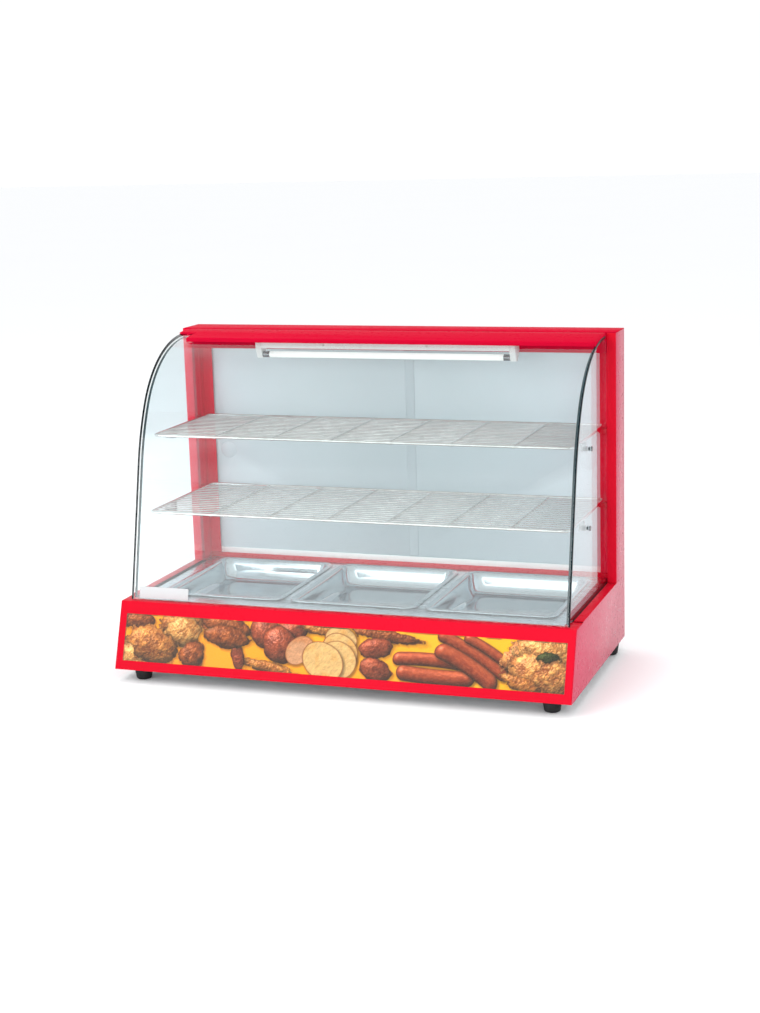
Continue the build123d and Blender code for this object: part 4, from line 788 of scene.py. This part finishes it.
class Picture:
    """A panel painted item by item: each item is a soft height field with its own skin."""

    def __init__(self, w, h, step):
        self.nu, self.nv = int(w / step) + 1, int(h / step) + 1
        self.u, self.v = np.meshgrid(np.linspace(0, w, self.nu), np.linspace(0, h, self.nv))
        self.du, self.dv = w / (self.nu - 1), h / (self.nv - 1)
        self.rgb = np.zeros((self.nv, self.nu, 3))

    def lay(self, inside, height, colour, gloss=0.15, shadow=0.5, edge=0.55):
        """inside: signed distance, positive in the item, mm. height: mm. colour: array."""
        u, v = self.u, self.v
        # soft shadow down and to the right
        sh = np.clip((inside + 4.0) / 5.0, 0, 1)
        k = int(round(2.5 / self.du))
        sh = np.roll(np.roll(sh, k, axis=1), -k, axis=0)
        self.rgb *= (1 - shadow * sh * 0.55)[..., None]
        gy, gx = np.gradient(height, self.dv, self.du)
        nz = 1.0 / np.sqrt(1 + gx * gx + gy * gy)
        nx, ny = -gx * nz, -gy * nz
        lam = np.clip(nx * -0.42 + ny * 0.55 + nz * 0.72, 0, 1.3)
        spec = np.clip(nx * -0.30 + ny * 0.42 + nz * 0.86, 0, 1) ** 22
        rim = np.clip(inside / 3.2, 0, 1) ** 0.6
        c = colour * (0.38 + 0.78 * lam)[..., None] * (edge + (1 - edge) * rim)[..., None] + (gloss * spec)[..., None]
        a = np.clip(inside / 0.9 + 0.5, 0, 1)[..., None]
        self.rgb = self.rgb * (1 - a) + c * a

    def chunk(self, cu, cv, ru, rv, rot, seed, tones, rough=0.34, lump=4.0, gloss=0.2, scale=14.0):
        """A crisp fried piece: ragged outline, knobbly crust."""
        a = math.radians(rot)
        x = (self.u - cu) * math.cos(a) + (self.v - cv) * math.sin(a)
        y = -(self.u - cu) * math.sin(a) + (self.v - cv) * math.cos(a)
        rr = np.sqrt((x / ru) ** 2 + (y / rv) ** 2)
        edge = (value_noise(self.u, self.v, scale, seed, 4) - 0.5) * 2 * rough
        inside = (1 - rr - edge) * min(ru, rv)
        crust = value_noise(self.u, self.v, 9.0, seed + 3, 5, 0.66)
        fine = value_noise(self.u, self.v, 2.6, seed + 5, 3, 0.7)
        dome = np.sqrt(np.clip(1.02 - rr ** 2, 0, 1)) * min(ru, rv) * 0.8
        height = dome + lump * crust + 1.1 * fine
        k = np.clip((crust - 0.3) * 2.4, 0, 1)[..., None]
        f = np.clip((fine - 0.35) * 2.2, 0, 1)[..., None]
        c = np.array(tones[0]) * (1 - k) + np.array(tones[1]) * k
        c = c * (1 - 0.35 * f) + np.array(tones[2]) * 0.35 * f
        self.lay(inside, height, c, gloss)

    def sausage(self, p0, p1, r, bow, seed, tones=((0.50, 0.15, 0.07), (0.66, 0.26, 0.13), (0.82, 0.42, 0.24))):
        p0, p1 = np.array(p0, float), np.array(p1, float)
        d = p1 - p0
        ln = np.hypot(*d)
        d /= ln
        s = (self.u - p0[0]) * d[0] + (self.v - p0[1]) * d[1]
        q = -(self.u - p0[0]) * d[1] + (self.v - p0[1]) * d[0]
        q = q - bow * (1 - (2 * s / ln - 1) ** 2)
        over = np.maximum(np.maximum(-s, s - ln), 0)
        dist = np.sqrt(q * q + over * over)
        inside = r - dist
        height = np.sqrt(np.clip(r * r - dist * dist, 0, None)) * 0.95
        wr = value_noise(s, q * 2.2, 7.0, seed, 4)
        k = np.clip((wr - 0.3) * 2.2, 0, 1)[..., None]
        c = np.array(tones[0]) * (1 - k) + np.array(tones[1]) * k
        top = np.clip((q / r) * 0.7 + 0.35, 0, 1)[..., None]
        c = c * (1 - 0.45 * top) + np.array(tones[2]) * 0.45 * top
        self.lay(inside, height + 0.5 * wr, c, 0.22, 0.7)

    def slice(self, cu, cv, ru, rv, rot, seed, crumb=(0.93, 0.74, 0.46), crust=(0.55, 0.24, 0.08)):
        a = math.radians(rot)
        x = (self.u - cu) * math.cos(a) + (self.v - cv) * math.sin(a)
        y = -(self.u - cu) * math.sin(a) + (self.v - cv) * math.cos(a)
        rr = np.sqrt((x / ru) ** 2 + (y / rv) ** 2)
        inside = (1 - rr - (value_noise(self.u, self.v, 20.0, seed, 2) - 0.5) * 0.06) * min(ru, rv)
        n = value_noise(self.u, self.v, 5.0, seed + 1, 4, 0.7)
        k = np.clip((n - 0.35) * 2, 0, 1)[..., None]
        c = np.array(crumb) * (0.90 + 0.14 * k)
        c = c - np.array((0.02, 0.07, 0.10)) * np.clip((value_noise(self.u, self.v, 16.0, seed + 7, 2) - 0.5) * 3, 0, 1)[..., None]
        ring = np.clip(1 - np.abs(inside - 0.2) / 1.3, 0, 1)[..., None]
        c = c * (1 - ring) + np.array(crust) * ring
        self.lay(inside, 0.8 * n, c, 0.05, 0.75, 0.9)


GOLD = ((0.45, 0.20, 0.06), (0.80, 0.48, 0.18), (0.97, 0.76, 0.44))
PALE = ((0.60, 0.33, 0.12), (0.90, 0.64, 0.32), (1.0, 0.88, 0.62))
BROWN = ((0.34, 0.12, 0.04), (0.62, 0.29, 0.10), (0.86, 0.54, 0.26))
ROAST = ((0.36, 0.11, 0.06), (0.62, 0.25, 0.13), (0.84, 0.48, 0.32))


def paint_picture(w, h, step):
    p = Picture(w, h, step)
    u, v = p.u, p.v
    f = np.clip(u / w, 0, 1)
    base = np.stack([np.full_like(u, 0.985), 0.565 + 0.11 * f + 0.03 * (v / h), 0.07 + 0.02 * np.sin(u / 70.0)], -1)
    glow = value_noise(u, v, 90.0, 2, 2)[..., None]
    p.rgb = base * (0.97 + 0.05 * glow)

    def pv(cx, cy):
        return h * (1 - (cy - (62.0 + (cx - 62.0) * 0.0734)) / 160.0)

    def at(cx, cy):
        t, vv = (cx - 62.0) / 1403.0, pv(cx, cy)
        return w * t + 72.0 * t * (1 - t) + (0.5 - vv / h) * 9.0, vv

    k = 0.62
    # left: heap of fried chicken
    p.chunk(*at(100, 82), 62 * k, 30 * k, -8, 11, BROWN)
    p.chunk(*at(245, 95), 72 * k, 40 * k, 8, 12, GOLD)
    p.chunk(*at(252, 125), 62 * k, 46 * k, -10, 13, PALE, 0.36)
    p.chunk(*at(385, 105), 84 * k, 30 * k, -12, 14, BROWN, 0.4)
    p.chunk(*at(92, 205), 62 * k, 42 * k, -18, 15, PALE, 0.34)
    p.chunk(*at(150, 168), 88 * k, 56 * k, -14, 16, GOLD, 0.34, 5.0)
    p.chunk(*at(276, 200), 44 * k, 40 * k, 10, 17, BROWN, 0.30, 4.5)
    # drumstick and a wing
    p.chunk(*at(512, 240), 82 * k, 17 * k, -10, 22, GOLD, 0.5, 4.0, 0.2, 9.0)
    p.chunk(*at(422, 205), 48 * k, 20 * k, -72, 21, ROAST, 0.28, 3.0)
    p.chunk(*at(385, 142), 76 * k, 34 * k, -8, 20, BROWN, 0.26, 3.5)
    # roast joint with slices
    p.chunk(*at(512, 128), 52 * k, 46 * k, -30, 30, ROAST, 0.14, 2.0, 0.25, 22.0)
    p.chunk(*at(590, 130), 62 * k, 42 * k, 28, 31, ROAST, 0.12, 2.0, 0.25, 22.0)
    p.chunk(*at(556, 168), 60 * k, 54 * k, -50, 32, ROAST, 0.12, 2.5, 0.3, 24.0)
    p.chunk(*at(700, 118), 72 * k, 20 * k, -4, 33, GOLD, 0.35)
    p.slice(*at(618, 186), 50 * k, 38 * k, 42, 34, (0.86, 0.62, 0.44), (0.62, 0.30, 0.16))
    p.slice(*at(752, 148), 52 * k, 36 * k, -12, 35)
    p.slice(*at(748, 186), 60 * k, 46 * k, -30, 36)
    p.slice(*at(738, 218), 62 * k, 56 * k, -20, 37)
    p.slice(*at(692, 222), 70 * k, 54 * k, -28, 38)
    # nuggets
    p.chunk(*at(895, 140), 102 * k, 17 * k, -5, 40, BROWN, 0.45)
    p.chunk(*at(862, 180), 54 * k, 32 * k, 10, 41, ROAST, 0.22, 3.0)
    p.chunk(*at(858, 248), 52 * k, 34 * k, -22, 42, ROAST, 0.22, 3.0)
    # sausages
    p.sausage(at(935, 212), at(1120, 228), 20 * k, 4 * k, 50)
    p.sausage(at(948, 258), at(1150, 278), 23 * k, -3 * k, 51)
    p.sausage(at(1080, 142), at(1262, 262), 19 * k, 5 * k, 53)
    p.sausage(at(1160, 150), at(1292, 242), 15 * k, 5 * k, 54)
    p.sausage(at(1076, 190), at(1222, 288), 25 * k, 6 * k, 52)
    # right: crisp rice heap with a sprig
    p.chunk(*at(1325, 205), 62 * k, 44 * k, 28, 60, ((0.55, 0.24, 0.10), (0.90, 0.58, 0.28), (1.0, 0.84, 0.60)), 0.45, 4.5, 0.2, 10.0)
    p.chunk(*at(1400, 195), 88 * k, 52 * k, -6, 61, PALE, 0.36, 5.0, 0.2, 12.0)
    p.chunk(*at(1395, 262), 104 * k, 62 * k, -12, 62, ((0.50, 0.22, 0.08), (0.90, 0.60, 0.28), (1.0, 0.86, 0.58)), 0.34, 5.0, 0.2, 11.0)
    p.chunk(*at(1320, 292), 62 * k, 22 * k, -16, 63, GOLD, 0.4, 4.0, 0.2, 9.0)
    p.chunk(*at(1408, 212), 34 * k, 15 * k, 6, 64, ((0.05, 0.10, 0.03), (0.20, 0.24, 0.09), (0.50, 0.42, 0.20)), 0.6, 3.0, 0.1, 8.0)
    return p


def picture_panel():
    """The printed film: a fine mesh over the front plate that carries the print as mesh colour."""
    node = "front_graphic_panel"
    co = np.array([v.co for v in NODES[node].data.vertices], float)
    lo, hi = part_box(node)
    # the panel's plane, from its lowest and highest front corners
    n = Vector((0, -0.125, 0.0435)).normalized()          # the front leans back 43.5 mm over 125 mm
    front = co @ np.array(n)
    d = front.max()
    sel = co[front > d - 1e-5]
    zmin, zmax, xmin, xmax = sel[:, 2].min(), sel[:, 2].max(), sel[:, 0].min(), sel[:, 0].max()
    ymin, ymax = sel[:, 1].min(), sel[:, 1].max()
    w, h = (xmax - xmin) * 1000, math.hypot(zmax - zmin, ymax - ymin) * 1000
    step = 0.85
    pic = paint_picture(w, h, step)
    nu, nv = pic.nu, pic.nv
    t = 0.0008
    fu, fv = pic.u / w, pic.v / h
    X = xmin + fu * (xmax - xmin)
    Y = ymin + fv * (ymax - ymin)
    Z = zmin + fv * (zmax - zmin)
    front_v = np.stack([X, Y, Z], -1).reshape(-1, 3)
    back_v = front_v - np.array(n) * t * 0.9
    ring = ([(0, j) for j in range(nu)] + [(i, nu - 1) for i in range(1, nv)] +
            [(nv - 1, j) for j in range(nu - 2, -1, -1)] + [(i, 0) for i in range(nv - 2, 0, -1)])
    ring_idx = [i * nu + j for i, j in ring]
    base = len(front_v)
    verts = np.concatenate([front_v, back_v[ring_idx]])
    faces = []
    idx = np.arange(nu * nv).reshape(nv, nu)
    quads = np.stack([idx[:-1, :-1], idx[:-1, 1:], idx[1:, 1:], idx[1:, :-1]], -1).reshape(-1, 4)
    faces = quads.tolist()
    m = len(ring_idx)
    for i in range(m):
        j = (i + 1) % m
        faces.append([ring_idx[j], ring_idx[i], base + i, base + j])
    faces.append([base + i for i in range(m - 1, -1, -1)])
    mesh = bpy.data.meshes.new("front_picture")
    mesh.from_pydata(verts.tolist(), [], faces)
    col = mesh.color_attributes.new("print", "FLOAT_COLOR", "POINT")
    rgb = np.clip(pic.rgb.reshape(-1, 3), 0.0, 1.0)
    lin = np.where(rgb <= 0.04045, rgb / 12.92, ((rgb + 0.055) / 1.055) ** 2.4)
    full = np.ones((len(verts), 4), np.float32)
    full[:base, :3] = lin
    full[base:, :3] = (0.8, 0.8, 0.78)
    col.data.foreach_set("color", full.ravel())
    mesh.update()
    net = Net("printed_film")
    att = net.add("Attribute")
    att.attribute_name = "print"
    dots = net.noise(1400.0, 1.0)
    c = net.mix(att.outputs["Color"], (1.0, 0.86, 0.62), net.span(dots, 0.0, 0.06, 0.35, 0.7))
    b = net.add("BsdfPrincipled")
    net.put(b, "Base Color", c)
    net.put(b, "Roughness", net.span(net.noise(40.0, 4.0), 0.30, 0.42, 0.3, 0.7))
    b.inputs["Specular IOR Level"].default_value = 0.25
    b.inputs["Coat Weight"].default_value = 0.12
    b.inputs["Coat Roughness"].default_value = 0.12
    net.put(b, "Normal", net.bump(net.noise(90.0, 3.0), 0.00004, 0.3))
    o = new_object("front_picture", mesh, BODY[node], [node], net.surface(b.outputs[0]))
    return o


picture_panel()

# ==================================================================== the floor
floor_mesh = bpy.data.meshes.new("floor")
floor_mesh.from_pydata([(-30, -30, 0), (30, -30, 0), (30, 30, 0), (-30, 30, 0)], [], [(0, 1, 2, 3)])
floor = bpy.data.objects.new("floor", floor_mesh)
floor.location.z = -0.0002
SC.collection.objects.link(floor)
fn = Net("floor_paper")
fb = fn.add("BsdfPrincipled")
fn.put(fb, "Base Color", fn.ramp(fn.noise(0.8, 2.0), [(0.0, (0.985, 0.985, 0.985)), (1.0, (0.995, 0.995, 0.995))]))
fb.inputs["Roughness"].default_value = 0.9
fb.inputs["Specular IOR Level"].default_value = 0.0
floor_mesh.materials.append(fn.surface(fb.outputs[0]))
